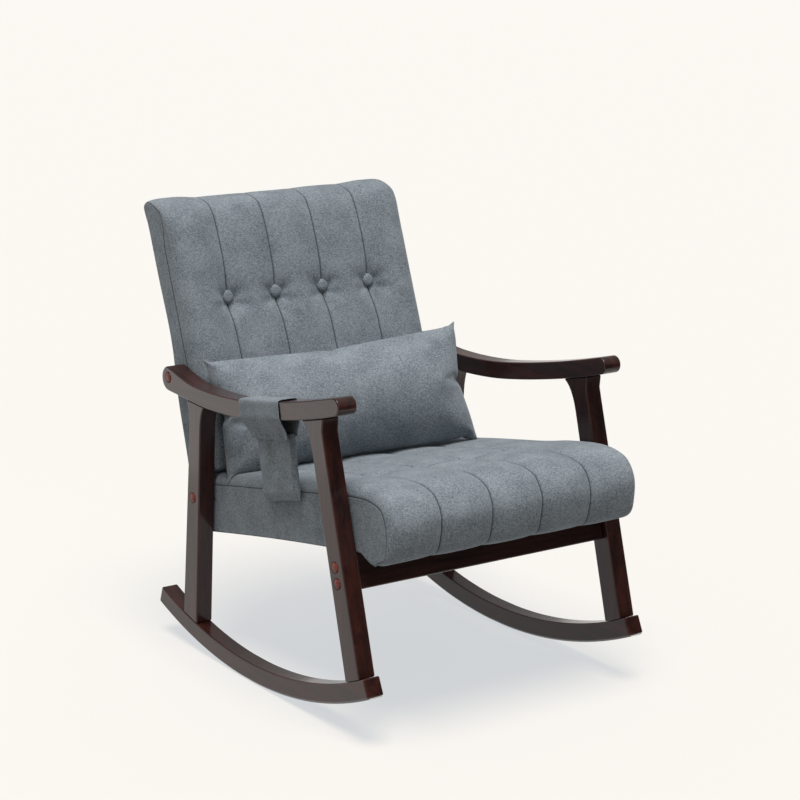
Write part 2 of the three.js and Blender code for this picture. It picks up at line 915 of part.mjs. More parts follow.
// ---- lumbar pillow, loose on the seat ----
const pillowShape = new THREE.Shape();
const pillowX = PILLOW_LENGTH / 2 - PILLOW_EDGE;
const pillowY = PILLOW_HEIGHT / 2 - PILLOW_EDGE;
pillowShape.moveTo(-pillowX, -pillowY);
pillowShape.lineTo(pillowX, -pillowY);
pillowShape.lineTo(pillowX, pillowY);
pillowShape.lineTo(-pillowX, pillowY);
const pillowGeometry = new THREE.ExtrudeGeometry(pillowShape, {
  depth: PILLOW_CORE,
  bevelThickness: (PILLOW_THICK - PILLOW_CORE) / 2,
  bevelSize: PILLOW_EDGE,
  bevelSegments: 5,
});
pillowGeometry.translate(0, 0, -PILLOW_CORE / 2);
const pillow = add(chair, "lumbar_pillow", pillowGeometry, greyLinen);
pillow.position.copy(PILLOW_CENTRE);
const turn = (axis, degrees) =>
  new THREE.Quaternion().setFromAxisAngle(axis, rad(degrees));
pillow.quaternion
  .copy(turn(new THREE.Vector3(0, 0, 1), PILLOW_YAW))
  .multiply(turn(new THREE.Vector3(1, 0, 0), 90 - PILLOW_LEAN))
  .multiply(turn(new THREE.Vector3(0, 0, 1), PILLOW_ROLL));

// ---- side pocket, hung on the right-hand armrest ----
const bandEnds = [-0.5, 0.5].map((share) =>
  heightOn(armUnder, POCKET_CENTRE_Y + share * BAND_WIDTH),
);
const bandRise = bandEnds[0] - bandEnds[1];
const bandMiddle = heightOn(armUnder, POCKET_CENTRE_Y);
const armBow = (bandEnds[0] + bandEnds[1]) / 2 - bandMiddle; // how much the arm curves there
const pocket = new THREE.Group();
pocket.position.set(0, POCKET_CENTRE_Y, bandMiddle);
pocket.rotation.x = -Math.atan2(bandRise, BAND_WIDTH);
chair.add(pocket);

// Outlines here are points of X and height above the armrest's underside, swept along the armrest.
function alongArm(name, points, width) {
  const geometry = new THREE.ExtrudeGeometry(new THREE.Shape(points), {
    depth: width,
    bevelEnabled: false,
  });
  const mesh = add(pocket, name, geometry, greyLinen);
  mesh.rotation.x = Math.PI / 2;
  mesh.position.y = width / 2;
  return mesh;
}

const bandOuter = -(armOuter + BAND_LOOSE);
const bandInner = -(armInner - BAND_LOOSE);
const bandTop = ARM_THICK + armBow + BAND_LOOSE * 2;
const pouchInner = -(coverHalf + POUCH_FIT);
const pouchOuter = pouchInner - POUCH_THICK;
const hemX = pouchOuter - 1.5;
const bandInside = [
  at(hemX, -FLAP_DROP),
  at(bandOuter, -3),
  at(bandOuter, bandTop),
  at(bandInner, bandTop),
  at(bandInner, -4),
  at(pouchInner - 0.4, -POUCH_TOP_DROP + 0.5),
];
const bandOutside = [
  at(pouchInner + CLOTH - 0.4, -POUCH_TOP_DROP + 0.5),
  at(bandInner + CLOTH, -4),
  at(bandInner + CLOTH, bandTop + CLOTH / 2),
  at(bandInner + CLOTH / 2, bandTop + CLOTH),
  at(bandOuter - CLOTH / 2, bandTop + CLOTH),
  at(bandOuter - CLOTH, bandTop + CLOTH / 2),
  at(bandOuter - CLOTH, -3),
  at(hemX - CLOTH, -FLAP_DROP),
];
alongArm("pocket_band", [...bandInside, ...bandOutside], BAND_WIDTH);

const pouch = block(
  pocket,
  "pocket_pouch",
  [pouchOuter, -POUCH_WIDTH / 2, -POUCH_TOP_DROP - POUCH_HEIGHT],
  [pouchInner, POUCH_WIDTH / 2, -POUCH_TOP_DROP],
  greyLinen,
);
const pouchInside = block(
  pocket,
  "inside",
  [
    pouchOuter + CLOTH,
    -POUCH_WIDTH / 2 + CLOTH,
    -POUCH_TOP_DROP - POUCH_HEIGHT + CLOTH,
  ],
  [pouchInner - CLOTH, POUCH_WIDTH / 2 - CLOTH, 10 - POUCH_TOP_DROP],
  greyLinen,
);
cut(pouch, [pouchInside]);
pocket.remove(pouchInside);

export default chair;
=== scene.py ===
import math

import bmesh
import bpy
import numpy as np
from mathutils import Matrix, Vector, noise
from mathutils.bvhtree import BVHTree


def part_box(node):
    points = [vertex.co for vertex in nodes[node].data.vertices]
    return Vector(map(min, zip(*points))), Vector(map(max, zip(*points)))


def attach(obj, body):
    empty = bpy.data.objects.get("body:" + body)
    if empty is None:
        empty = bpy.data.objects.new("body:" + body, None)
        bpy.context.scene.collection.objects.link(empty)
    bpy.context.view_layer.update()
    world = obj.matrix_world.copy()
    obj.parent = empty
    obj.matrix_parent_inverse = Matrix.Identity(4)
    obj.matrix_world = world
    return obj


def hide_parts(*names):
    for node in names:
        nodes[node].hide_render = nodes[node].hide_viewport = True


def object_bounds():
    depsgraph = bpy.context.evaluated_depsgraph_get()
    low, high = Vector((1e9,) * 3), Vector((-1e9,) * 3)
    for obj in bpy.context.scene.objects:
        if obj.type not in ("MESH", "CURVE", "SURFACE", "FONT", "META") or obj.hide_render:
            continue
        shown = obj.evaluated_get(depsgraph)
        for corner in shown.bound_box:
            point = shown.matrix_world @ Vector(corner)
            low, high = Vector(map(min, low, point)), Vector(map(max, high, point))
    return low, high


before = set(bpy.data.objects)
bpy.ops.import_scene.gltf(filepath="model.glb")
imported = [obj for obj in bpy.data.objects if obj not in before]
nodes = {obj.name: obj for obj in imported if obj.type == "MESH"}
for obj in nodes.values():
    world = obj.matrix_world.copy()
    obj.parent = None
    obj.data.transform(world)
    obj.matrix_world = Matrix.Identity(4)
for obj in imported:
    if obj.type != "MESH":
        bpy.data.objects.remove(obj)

cad_low, cad_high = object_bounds()
scene = bpy.context.scene

# ---- Camera ----
# A long lens looks down on the chair from ahead of the sitter's right-hand armrest.
azimuth = math.radians(-34.01)
elevation = math.radians(13.443)
eye = Vector((-2.2834, -3.4454, 1.4810))
behind_eye = Vector(
    (
        math.sin(azimuth) * math.cos(elevation),
        -math.cos(azimuth) * math.cos(elevation),
        math.sin(elevation),
    )
)
lens = bpy.data.cameras.new("long_lens")
lens.lens = 101.48
lens.sensor_width = 36
lens.clip_end = 200
camera = bpy.data.objects.new("camera", lens)
camera.location = eye
camera.rotation_mode = "QUATERNION"
camera.rotation_quaternion = behind_eye.to_track_quat("Z", "Y")
scene.collection.objects.link(camera)
scene.camera = camera

# ---- Studio ----
# A pale seamless floor under an even white sky, with a wide soft key light nearly overhead. A low
# card beside the right rocker and a small softbox in front draw the highlights along the wood.
scene.view_settings.view_transform = "Standard"
FLOOR_SIZE = 120.0
FLOOR_DROP = 0.0004


def pale(name, colour, roughness, glow=(0.0, 0.0, 0.0)):
    material = bpy.data.materials.new(name)
    material.use_nodes = True
    shader = material.node_tree.nodes["Principled BSDF"]
    shader.inputs["Base Color"].default_value = (*colour, 1)
    shader.inputs["Roughness"].default_value = roughness
    shader.inputs["Specular IOR Level"].default_value = 0.2
    shader.inputs["Emission Color"].default_value = (*glow, 1)
    shader.inputs["Emission Strength"].default_value = 1.0
    return material


floor_mesh = bpy.data.meshes.new("floor")
floor_edge = FLOOR_SIZE / 2
floor_mesh.from_pydata(
    [
        (-floor_edge, -floor_edge, -FLOOR_DROP),
        (floor_edge, -floor_edge, -FLOOR_DROP),
        (floor_edge, floor_edge, -FLOOR_DROP),
        (-floor_edge, floor_edge, -FLOOR_DROP),
    ],
    [],
    [(0, 1, 2, 3)],
)
floor_mesh.materials.append(pale("seamless_paper", (0.240, 0.204, 0.156), 0.9, (0.585, 0.612, 0.640)))
floor = bpy.data.objects.new("floor", floor_mesh)
scene.collection.objects.link(floor)
floor.visible_diffuse = False

sky = bpy.data.worlds.new("white_studio")
sky.use_nodes = True
sky.node_tree.nodes["Background"].inputs["Color"].default_value = (0.97, 0.955, 0.93, 1)
sky.node_tree.nodes["Background"].inputs["Strength"].default_value = 0.40
scene.world = sky


def lamp(name, kind, energy, place, aim, size):
    data = bpy.data.lights.new(name, kind)
    data.energy = energy
    if kind == "SUN":
        data.angle = size
    else:
        data.shape = "RECTANGLE"
        data.size, data.size_y = size
    light = bpy.data.objects.new(name, data)
    light.location = place
    light.rotation_mode = "QUATERNION"
    light.rotation_quaternion = (Vector(place) - Vector(aim)).to_track_quat("Z", "Y")
    scene.collection.objects.link(light)
    return light


middle = (cad_low + cad_high) / 2
lamp("key_light", "SUN", 3.75, (-0.45, -0.75, 4.4), middle, math.radians(34))
low_card = lamp("low_card", "AREA", 1.4, (-1.15, 1.15, 0.32), (-0.3, -0.1, 0.3), (1.5, 0.62))
low_card.visible_camera = False
lamp("front_softbox", "AREA", 3, (-0.4, -3.2, 2.6), middle, (0.9, 0.5)).visible_camera = False

# A black flag ahead of the chair, which only reflections see, keeps its front faces dark.
flag_mesh = bpy.data.meshes.new("black_flag")
flag_mesh.from_pydata(
    [(-0.25, -1.50, 0.0), (1.75, -1.05, 0.0), (1.75, -1.05, 0.9), (-0.25, -1.50, 0.9)], [], [(0, 1, 2, 3)]
)
flag_mesh.materials.append(pale("black_velvet", (0.004, 0.004, 0.004), 1.0))
flag = bpy.data.objects.new("black_flag", flag_mesh)
scene.collection.objects.link(flag)
for ray in ("camera", "diffuse", "transmission", "volume_scatter", "shadow"):
    setattr(flag, f"visible_{ray}", False)

# ---- Espresso lacquered wood: rockers, legs, armrests and front stretcher ----
# Solid boards, sawn to their curves, doweled and glued into two side frames, every edge rounded
# over with a router, then stained almost black and lacquered to a gloss.
EDGE_ROUND = 0.0028
ROUND_STEPS = 3
SHARP = math.radians(35)


def shader_of(material):
    return material.node_tree.nodes["Principled BSDF"]


def make_wood(name, grain, dark, light, lacquer=0.8):
    """A wood whose grain runs along one axis: 0, 1 or 2 for X, Y or Z."""
    material = bpy.data.materials.new(name)
    material.use_nodes = True
    add, wire = material.node_tree.nodes.new, material.node_tree.links.new
    shader = shader_of(material)
    place = add("ShaderNodeTexCoord")
    stretch = add("ShaderNodeMapping")
    scale = [1.0, 1.0, 1.0]
    scale[grain] = 0.06
    stretch.inputs["Scale"].default_value = scale
    wire(place.outputs["Object"], stretch.inputs["Vector"])
    pores = add("ShaderNodeTexNoise")
    pores.inputs["Scale"].default_value = 420
    pores.inputs["Detail"].default_value = 4
    bands = add("ShaderNodeTexNoise")
    bands.inputs["Scale"].default_value = 60
    bands.inputs["Detail"].default_value = 3
    bands.inputs["Distortion"].default_value = 0.6
    for texture in (pores, bands):
        wire(stretch.outputs["Vector"], texture.inputs["Vector"])
    blend = add("ShaderNodeMix")
    blend.data_type = "FLOAT"
    blend.inputs["Factor"].default_value = 0.35
    wire(bands.outputs["Fac"], blend.inputs[2])
    wire(pores.outputs["Fac"], blend.inputs[3])
    colours = add("ShaderNodeValToRGB")
    colours.color_ramp.elements[0].position = 0.36
    colours.color_ramp.elements[0].color = (*dark, 1)
    colours.color_ramp.elements[1].position = 0.68
    colours.color_ramp.elements[1].color = (*light, 1)
    wire(blend.outputs[0], colours.inputs["Fac"])
    wire(colours.outputs["Color"], shader.inputs["Base Color"])
    bump = add("ShaderNodeBump")
    bump.inputs["Strength"].default_value = 0.08
    bump.inputs["Distance"].default_value = 0.0004
    wire(pores.outputs["Fac"], bump.inputs["Height"])
    wire(bump.outputs["Normal"], shader.inputs["Normal"])
    shader.inputs["Roughness"].default_value = 0.5
    shader.inputs["Specular IOR Level"].default_value = 0.15
    shader.inputs["Coat Weight"].default_value = lacquer
    shader.inputs["Coat IOR"].default_value = 1.38
    shader.inputs["Coat Roughness"].default_value = 0.14
    return material


STAIN_DARK = (0.0075, 0.0022, 0.0018)
STAIN_LIGHT = (0.046, 0.0105, 0.0065)
# The rounded-over edges get their own material: the same grain in a slightly lighter, redder stain, a
# painted highlight along each edge.
HIGHLIT_EDGE_DARK = (0.012, 0.003, 0.0024)
HIGHLIT_EDGE_LIGHT = (0.050, 0.011, 0.007)
GRAIN_NAMES = ("across", "lengthwise", "upright")
boards = [make_wood(f"espresso_{n}", i, STAIN_DARK, STAIN_LIGHT) for i, n in enumerate(GRAIN_NAMES)]
edges = [make_wood(f"espresso_edge_highlight_{n}", i, HIGHLIT_EDGE_DARK, HIGHLIT_EDGE_LIGHT) for i, n in enumerate(GRAIN_NAMES)]


def link(name, mesh):
    piece = bpy.data.objects.new(name, mesh)
    scene.collection.objects.link(piece)
    return piece


def freeze(piece):
    """Turns what the modifiers make into the piece's own plain mesh."""
    bpy.context.view_layer.update()
    view = bpy.context.evaluated_depsgraph_get()
    mesh = bpy.data.meshes.new_from_object(piece.evaluated_get(view), depsgraph=view)
    piece.modifiers.clear()
    piece.data = mesh
    return piece


def whole_faces(node):
    """A CAD node's loose triangles, joined up and merged into whole flat faces."""
    shape = bmesh.new()
    shape.from_mesh(nodes[node].data)
    bmesh.ops.remove_doubles(shape, verts=shape.verts, dist=2e-5)
    bmesh.ops.dissolve_limit(
        shape, angle_limit=math.radians(0.4), verts=shape.verts, edges=shape.edges
    )
    mesh = bpy.data.meshes.new(node)
    shape.to_mesh(mesh)
    shape.free()
    mesh.materials.clear()
    return mesh


def round_over(piece, width, steps):
    bevel = piece.modifiers.new("rounded_edges", "BEVEL")
    bevel.width = width
    bevel.segments = steps
    bevel.limit_method = "ANGLE"
    bevel.angle_limit = SHARP
    bevel.use_clamp_overlap = False
    # The rounded edges take the second material, the painted edge highlight.
    bevel.material = 1
    bevel.miter_outer = "MITER_ARC"
    piece.data.shade_smooth()
    flats = piece.modifiers.new("even_flats", "WEIGHTED_NORMAL")
    flats.weight = 60
    return freeze(piece)


def board(node, grain):
    piece = link(f"{node}_board", whole_faces(node))
    piece.data.materials.append(boards[grain])
    piece.data.materials.append(edges[grain])
    round_over(piece, EDGE_ROUND, ROUND_STEPS)
    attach(piece, "chair")
    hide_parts(node)
    return piece


for side in ("left", "right"):
    board(f"rocker_{side}", 1)
    board(f"front_leg_{side}", 2)
    board(f"rear_leg_{side}", 2)
    board(f"armrest_{side}", 1)
board("front_stretcher", 0)


# ---- Seat cushion ----
# A foam block on webbing inside a beech frame, in slate grey linen. Five channels run from the back
# to a row of tufts, and on over a fat roll that hangs in front of the stretcher.
MM = 0.001


def make_cloth(name, dark, light):
    """Matt heathered linen: short slubs in three directions, over a soft mottle."""
    material = bpy.data.materials.new(name)
    material.use_nodes = True
    add, wire = material.node_tree.nodes.new, material.node_tree.links.new
    shader = shader_of(material)
    place = add("ShaderNodeTexCoord")

    def grain_of(stretch, scale, detail):
        mapping = add("ShaderNodeMapping")
        mapping.inputs["Scale"].default_value = stretch
        wire(place.outputs["Object"], mapping.inputs["Vector"])
        texture = add("ShaderNodeTexNoise")
        texture.inputs["Scale"].default_value = scale
        texture.inputs["Detail"].default_value = detail
        wire(mapping.outputs["Vector"], texture.inputs["Vector"])
        return texture.outputs["Fac"]

    def mix(a, b, share):
        node = add("ShaderNodeMix")
        node.data_type = "FLOAT"
        node.inputs["Factor"].default_value = share
        wire(a, node.inputs[2])
        wire(b, node.inputs[3])
        return node.outputs[0]

    across, lengthwise, upright = (
        grain_of([0.16 if axis == k else 1 for k in range(3)], 950, 2) for axis in range(3)
    )
    mottle = grain_of((1, 1, 1), 320, 3)
    cloud = grain_of((1, 1, 1), 22, 2)
    threads = mix(mix(across, lengthwise, 0.5), upright, 0.333)
    shade = mix(mix(threads, mottle, 0.22), cloud, 0.12)
    colours = add("ShaderNodeValToRGB")
    colours.color_ramp.elements[0].position = 0.425
    colours.color_ramp.elements[0].color = (*dark, 1)
    colours.color_ramp.elements[1].position = 0.575
    colours.color_ramp.elements[1].color = (*light, 1)
    wire(shade, colours.inputs["Fac"])
    # The seam attribute darkens the colour towards a deep shade of the dark yarn: painted shade in the
    # seams and creases.
    seam_shade = add("ShaderNodeAttribute")
    seam_shade.attribute_name = "seam_shade"
    seam_shading = add("ShaderNodeMix")
    seam_shading.data_type = "RGBA"
    wire(seam_shade.outputs["Fac"], seam_shading.inputs["Factor"])
    wire(colours.outputs["Color"], seam_shading.inputs[6])
    seam_shading.inputs[7].default_value = (*(0.42 * c for c in dark), 1)
    wire(seam_shading.outputs[2], shader.inputs["Base Color"])
    bump = add("ShaderNodeBump")
    bump.inputs["Strength"].default_value = 0.55
    bump.inputs["Distance"].default_value = 0.0006
    wire(mix(threads, mottle, 0.3), bump.inputs["Height"])
    wire(bump.outputs["Normal"], shader.inputs["Normal"])
    shader.inputs["Roughness"].default_value = 0.92
    shader.inputs["Specular IOR Level"].default_value = 0.25
    shader.inputs["Sheen Weight"].default_value = 0.18
    shader.inputs["Sheen Roughness"].default_value = 0.45
    shader.inputs["Sheen Tint"].default_value = (0.80, 0.86, 0.92, 1)
    return material


linen = make_cloth("slate_linen", (0.086, 0.104, 0.121), (0.252, 0.282, 0.306))


def curve_through(points, step):
    """A smooth curve through given points, in even steps."""
    p = np.array(points, float)
    p = np.vstack([2 * p[0] - p[1], p, 2 * p[-1] - p[-2]])
    fine = []
    for a, b, c, d in zip(p[:-3], p[1:-2], p[2:-1], p[3:]):
        for t in np.linspace(0, 1, 24, endpoint=False):
            bend = 2 * a - 5 * b + 4 * c - d
            twist = 3 * b - a - 3 * c + d
            fine.append(0.5 * (2 * b + (c - a) * t + bend * t**2 + twist * t**3))
    fine.append(p[-2])
    return even(np.array(fine), step)


def even(points, step):
    run = np.concatenate([[0], np.cumsum(np.linalg.norm(np.diff(points, axis=0), axis=1))])
    count = max(2, int(round(run[-1] / step)) + 1)
    at = np.linspace(0, run[-1], count)
    return np.stack([np.interp(at, run, points[:, k]) for k in range(points.shape[1])], axis=1)


def outward(loop):
    """Unit normals of a closed loop of (Y, Z) points, pointing out of it."""
    along = np.roll(loop, -1, 0) - np.roll(loop, 1, 0)
    normal = np.stack([along[:, 1], -along[:, 0]], axis=1)
    normal /= np.linalg.norm(normal, axis=1)[:, None]
    turn = np.sum(loop[:, 0] * np.roll(loop[:, 1], -1) - np.roll(loop[:, 0], -1) * loop[:, 1])
    return normal if turn > 0 else -normal


def nearest_on(a, b, points):
    a, b = np.array(a), np.array(b)
    share = np.clip((points - a) @ (b - a) / np.dot(b - a, b - a), 0, 1)
    return a + share[:, None] * (b - a)


def channel_columns(seams, half, corner):
    """X of the columns of a channelled panel, close together beside each seam."""
    beside = (0, 0.7, 1.5, 2.6, 4.2, 6.5, 10, 15, 21)
    columns = {round(s + k * b * MM, 6) for s in seams for b in beside for k in (-1, 1)}
    reach = half - corner
    stops = [-reach, *seams, reach]
    for a, b in zip(stops[:-1], stops[1:]):
        columns.update(round(a + (b - a) * t, 6) for t in np.linspace(0, 1, 13))
    columns = np.array(sorted(c for c in columns if abs(c) <= reach + 1e-6))
    keep = np.concatenate([[True], np.diff(columns) > 0.5 * MM])
    return columns[keep]


CORNER_TURNS = np.radians([10, 22, 34, 46, 58, 68, 77, 84, 90])
SEAM_SINK = 1.6 * MM
PANEL_SHARES = (0.02, 0.05, 0.1, 0.2, 0.34, 0.54, 0.74, 0.9, 0.985)


def upholstered(name, loop, spine, half, corner, corner_depth, columns, padding, place):
    """A closed padded block: the loop swept across the chair, its outer edges turned over a round
    corner into a seam, and a side panel at each end that closes on the spine. padding(x, i) gives
    where each point lies across, how far it stands out and how much painted shade it gets in a seam
    or crease; the corner seams get the full painted shade."""
    out = outward(loop)
    count = len(loop)
    index = np.arange(count)
    rings, seams = [], []
    for x in columns:
        x_here, proud, seam_shading = padding(np.full(count, x), index)
        rings.append(np.column_stack([x_here, loop + out * proud[:, None]]))
        seams.append(seam_shading)
    for end, ring_list, seam_shade_list in ((-1, [], []), (1, [], [])):
        edge_x = end * (half - corner)
        _, proud, _ = padding(np.full(count, edge_x), index)
        for turn in CORNER_TURNS:
            inset = corner_depth * (1 - math.cos(turn)) - proud * math.cos(turn)
            x_here = np.full(count, edge_x + end * corner * math.sin(turn))
            ring_list.append(np.column_stack([x_here, loop - out * inset[:, None]]))
            seam_shade_list.append(np.zeros(count))
        rim = ring_list[-1][:, 1:].copy()
        ring_list[-1][:, 0] -= end * SEAM_SINK
        # The corner seam gets the full painted shade.
        seam_shade_list[-1] += 1.0
        target = nearest_on(*spine, rim)
        for share in PANEL_SHARES:
            ring_list.append(np.column_stack([np.full(count, end * half), rim + (target - rim) * share]))
            seam_shade_list.append(np.zeros(count))
        rings = ring_list[::-1] + rings if end < 0 else rings + ring_list
        seams = seam_shade_list[::-1] + seams if end < 0 else seams + seam_shade_list
    vertices = place(np.concatenate(rings))
    faces = []
    for r in range(len(rings) - 1):
        for i in range(count):
            j = (i + 1) % count
            faces.append((r * count + i, r * count + j, (r + 1) * count + j, (r + 1) * count + i))
    last = (len(rings) - 1) * count
    faces.append(tuple(range(count))[::-1])
    faces.append(tuple(range(last, last + count)))
    mesh = bpy.data.meshes.new(name)
    mesh.from_pydata(vertices.tolist(), [], faces)
    # Each point carries its painted seam shade as an attribute.
    mark = mesh.attributes.new("seam_shade", "FLOAT", "POINT")
    mark.data.foreach_set("value", np.concatenate(seams).astype(np.float32))
    shape = bmesh.new()
    shape.from_mesh(mesh)
    bmesh.ops.recalc_face_normals(shape, faces=shape.faces)
    shape.to_mesh(mesh)
    shape.free()
    mesh.materials.append(linen)
    mesh.shade_smooth()
    return link(name, mesh)


def fade(value, low, high):
    t = np.clip((value - low) / (high - low), 0, 1)
    return t * t * (3 - 2 * t)


def hum(x, y, z):
    """Smooth noise at many points, the same on each run."""
    return np.array([noise.noise(Vector(p)) for p in zip(x, y, z)])


def between_seams(x, seams, half):
    """How high the padding stands between two seams, from 0 at a seam to 1, and the distance to
    the nearest seam."""
    stops = np.array([-half, *seams, half])
    cell = np.clip(np.searchsorted(stops, x) - 1, 0, len(stops) - 2)
    share = (x - stops[cell]) / (stops[cell + 1] - stops[cell])
    crown = (1 - np.abs(2 * share - 1) ** 2.4) ** 0.7
    crown = np.where((cell == 0) & (share < 0.5), 1.0, crown)
    crown = np.where((cell == len(stops) - 2) & (share > 0.5), 1.0, crown)
    gap = np.min(np.abs(x[:, None] - np.array(seams)[None, :]), axis=1)
    return crown, gap


cover_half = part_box("seat_cushion")[1].x
SEAT_TILT = math.radians(10)
SEAT_BASE = 0.266
seat_top = curve_through(
    [
        (0.208, 0.100),
        (0.196, 0.108),
        (0.100, 0.111),
        (0.000, 0.112),
        (-0.120, 0.1135),
        (-0.190, 0.114),
        (-0.230, 0.1145),
        (-0.310, 0.1150),
        (-0.366, 0.1125),
        (-0.406, 0.104),
        (-0.434, 0.087),
        (-0.447, 0.053),
        (-0.438, 0.015),
        (-0.422, -0.010),
        (-0.394, -0.019),
    ],
    4 * MM,
)
seat_under = even(
    np.array(
        [
            (-0.394, -0.019),
            (-0.370, -0.012),
            (-0.345, 0.0042),
            (0.206, 0.0042),
            (0.210, 0.010),
            (0.208, 0.100),
        ]
    ),
    8 * MM,
)
seat_loop = np.vstack([seat_top, seat_under[1:-1]])
seat_run = np.concatenate([[0], np.cumsum(np.linalg.norm(np.diff(seat_top, axis=0), axis=1))])
tuft_run = seat_run[np.argmin(np.abs(seat_top[:, 0] + 0.228))]
SEAT_PITCH = 0.104
ROLL_PITCH = 0.108
roll_seams = [(k - 1.5) * ROLL_PITCH for k in range(4)]


# How far the seat's padding stands up or is drawn in, in mm.
SEAT_PUFF = 5.0
ROLL_PUFF = 8.0
TROUGH_DEPTH = 4.5
CREASE_DEPTH = 2.0
TUFT_DEPTH = 4.5
SEAT_SEAM_DEPTH = 1.9
SEAT_PUCKER = 0.9
SEAT_LUMPS = 1.2


def seat_padding(x, index):
    on_top = index < len(seat_top)
    run = np.where(on_top, seat_run[np.minimum(index, len(seat_top) - 1)], 9.0)
    roll = fade(run, tuft_run - 0.01, tuft_run + 0.05)
    narrowing = (SEAT_PITCH / ROLL_PITCH - 1) * (1 - roll) * (1 - fade(np.abs(x), 0.165, 0.24))
    crown, gap = between_seams(x, roll_seams, cover_half)
    lip = 1 - 0.6 * fade(run, seat_run[-1] - 0.06, seat_run[-1])
    height = (SEAT_PUFF * (1 - roll) + ROLL_PUFF * roll) * MM * fade(run, 0.0, 0.05) * lip
    inner = 1 - fade(np.abs(x), ROLL_PITCH * 1.5, ROLL_PITCH * 1.5 + 0.05)
    bow = 0.006 * crown
    ahead = run - tuft_run + bow
    crease = np.exp(-((ahead / 0.007) ** 2)) * inner
    trough = np.exp(-((ahead / 0.024) ** 2)) * inner
    tuft = np.exp(-((ahead / 0.018) ** 2) - (gap / 0.020) ** 2)
    proud = height * (crown - 0.42) - TROUGH_DEPTH * MM * trough
    proud = proud - CREASE_DEPTH * MM * crease - TUFT_DEPTH * MM * tuft
    groove = np.exp(-((gap / 0.0012) ** 2)) * fade(run, 0.0, 0.03)
    proud = proud - SEAT_SEAM_DEPTH * MM * groove
    pucker = hum(x * 9, run * 62, x * 0 + 3.1) * np.exp(-gap / 0.012) * (gap > 0.001)
    lumps = hum(x * 11, run * 11, x * 0 + 8.7)
    proud = proud + (SEAT_PUCKER * pucker + SEAT_LUMPS * lumps) * MM
    # The last value is painted shade along the seams and in the crease before the tufts.
    seam_shading = np.where(on_top, np.maximum(groove, 0.8 * crease**6), 0.0)
    return x * (1 + narrowing), np.where(on_top, proud, 0.0), seam_shading


def lean_seat(points):
    y, z = points[:, 1], points[:, 2]
    c, s = math.cos(SEAT_TILT), math.sin(SEAT_TILT)
    return np.column_stack([points[:, 0], y * c + z * s, -y * s + z * c + SEAT_BASE])


SEAT_CORNER = 0.018
SEAT_HEM = 0.0045
seat_depth = -SEAT_HEM + 0.004 * np.sin(np.pi * np.clip((seat_loop[:, 0] + 0.345) / 0.55, 0, 1))
seat_depth[: len(seat_top)] = SEAT_CORNER - 0.014 * fade(seat_run, seat_run[-1] - 0.10, seat_run[-1] - 0.01)
seat = upholstered(
    "seat",
    seat_loop,
    ((0.150, 0.055), (-0.380, 0.052)),
    cover_half,
    SEAT_CORNER,
    seat_depth,
    channel_columns(roll_seams, cover_half, SEAT_CORNER),
    seat_padding,
    lean_seat,
)
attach(seat, "chair")
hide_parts("seat_cushion")

# ---- Back cushion ----
# Foam over two beech stiles and webbing. Four seams run down it, each drawn in by a covered button,
# and a side panel is sewn round each edge.
back_rear = curve_through(
    [
        (0.252, 0.246),
        (0.264, 0.300),
        (0.283, 0.373),
        (0.311, 0.470),
        (0.322, 0.530),
        (0.331, 0.572),
        (0.347, 0.619),
        (0.381, 0.701),
        (0.414, 0.787),
        (0.427, 0.812),
    ],
    7 * MM,
)
back_front = curve_through(
    [
        (0.427, 0.812),
        (0.433, 0.829),
        (0.421, 0.842),
        (0.401, 0.847),
        (0.374, 0.8445),
        (0.350, 0.835),
        (0.332, 0.816),
        (0.319, 0.792),
        (0.303, 0.753),
        (0.285, 0.704),
        (0.269, 0.661),
        (0.244, 0.593),
        (0.227, 0.546),
        (0.200, 0.470),
        (0.179, 0.410),
        (0.164, 0.362),
    ],
    4 * MM,
)
back_tail = even(
    np.array([(0.164, 0.362), (0.180, 0.350), (0.231, 0.346), (0.214, 0.247), (0.252, 0.246)]),
    8 * MM,
)
back_loop = np.vstack([back_front, back_tail[1:-1], back_rear[:-1]])
back_run = np.concatenate([[0], np.cumsum(np.linalg.norm(np.diff(back_front, axis=0), axis=1))])
BUTTON_Z = 0.661
button_run = back_run[np.argmin(np.abs(back_front[:, 1] - BUTTON_Z))]
BACK_PITCH = 0.108
back_seams = [(k - 1.5) * BACK_PITCH for k in range(4)]
PANEL_EDGE = 0.2622


# How far the back's padding stands up or is drawn in, in mm.
CROWN_SINK = 8
LOWER_SINK = 5
WAIST_SINK = 7
BACK_PUFF = 4.0
WAIST_PUFF = 5.5
LOWER_PUFF = 1.5
BUTTON_PULL = 8.5
BACK_SEAM_DEPTH = 2.0
BACK_PUCKER = 0.7
BACK_LUMPS = 1.3
FOLD_RISE = 1.5


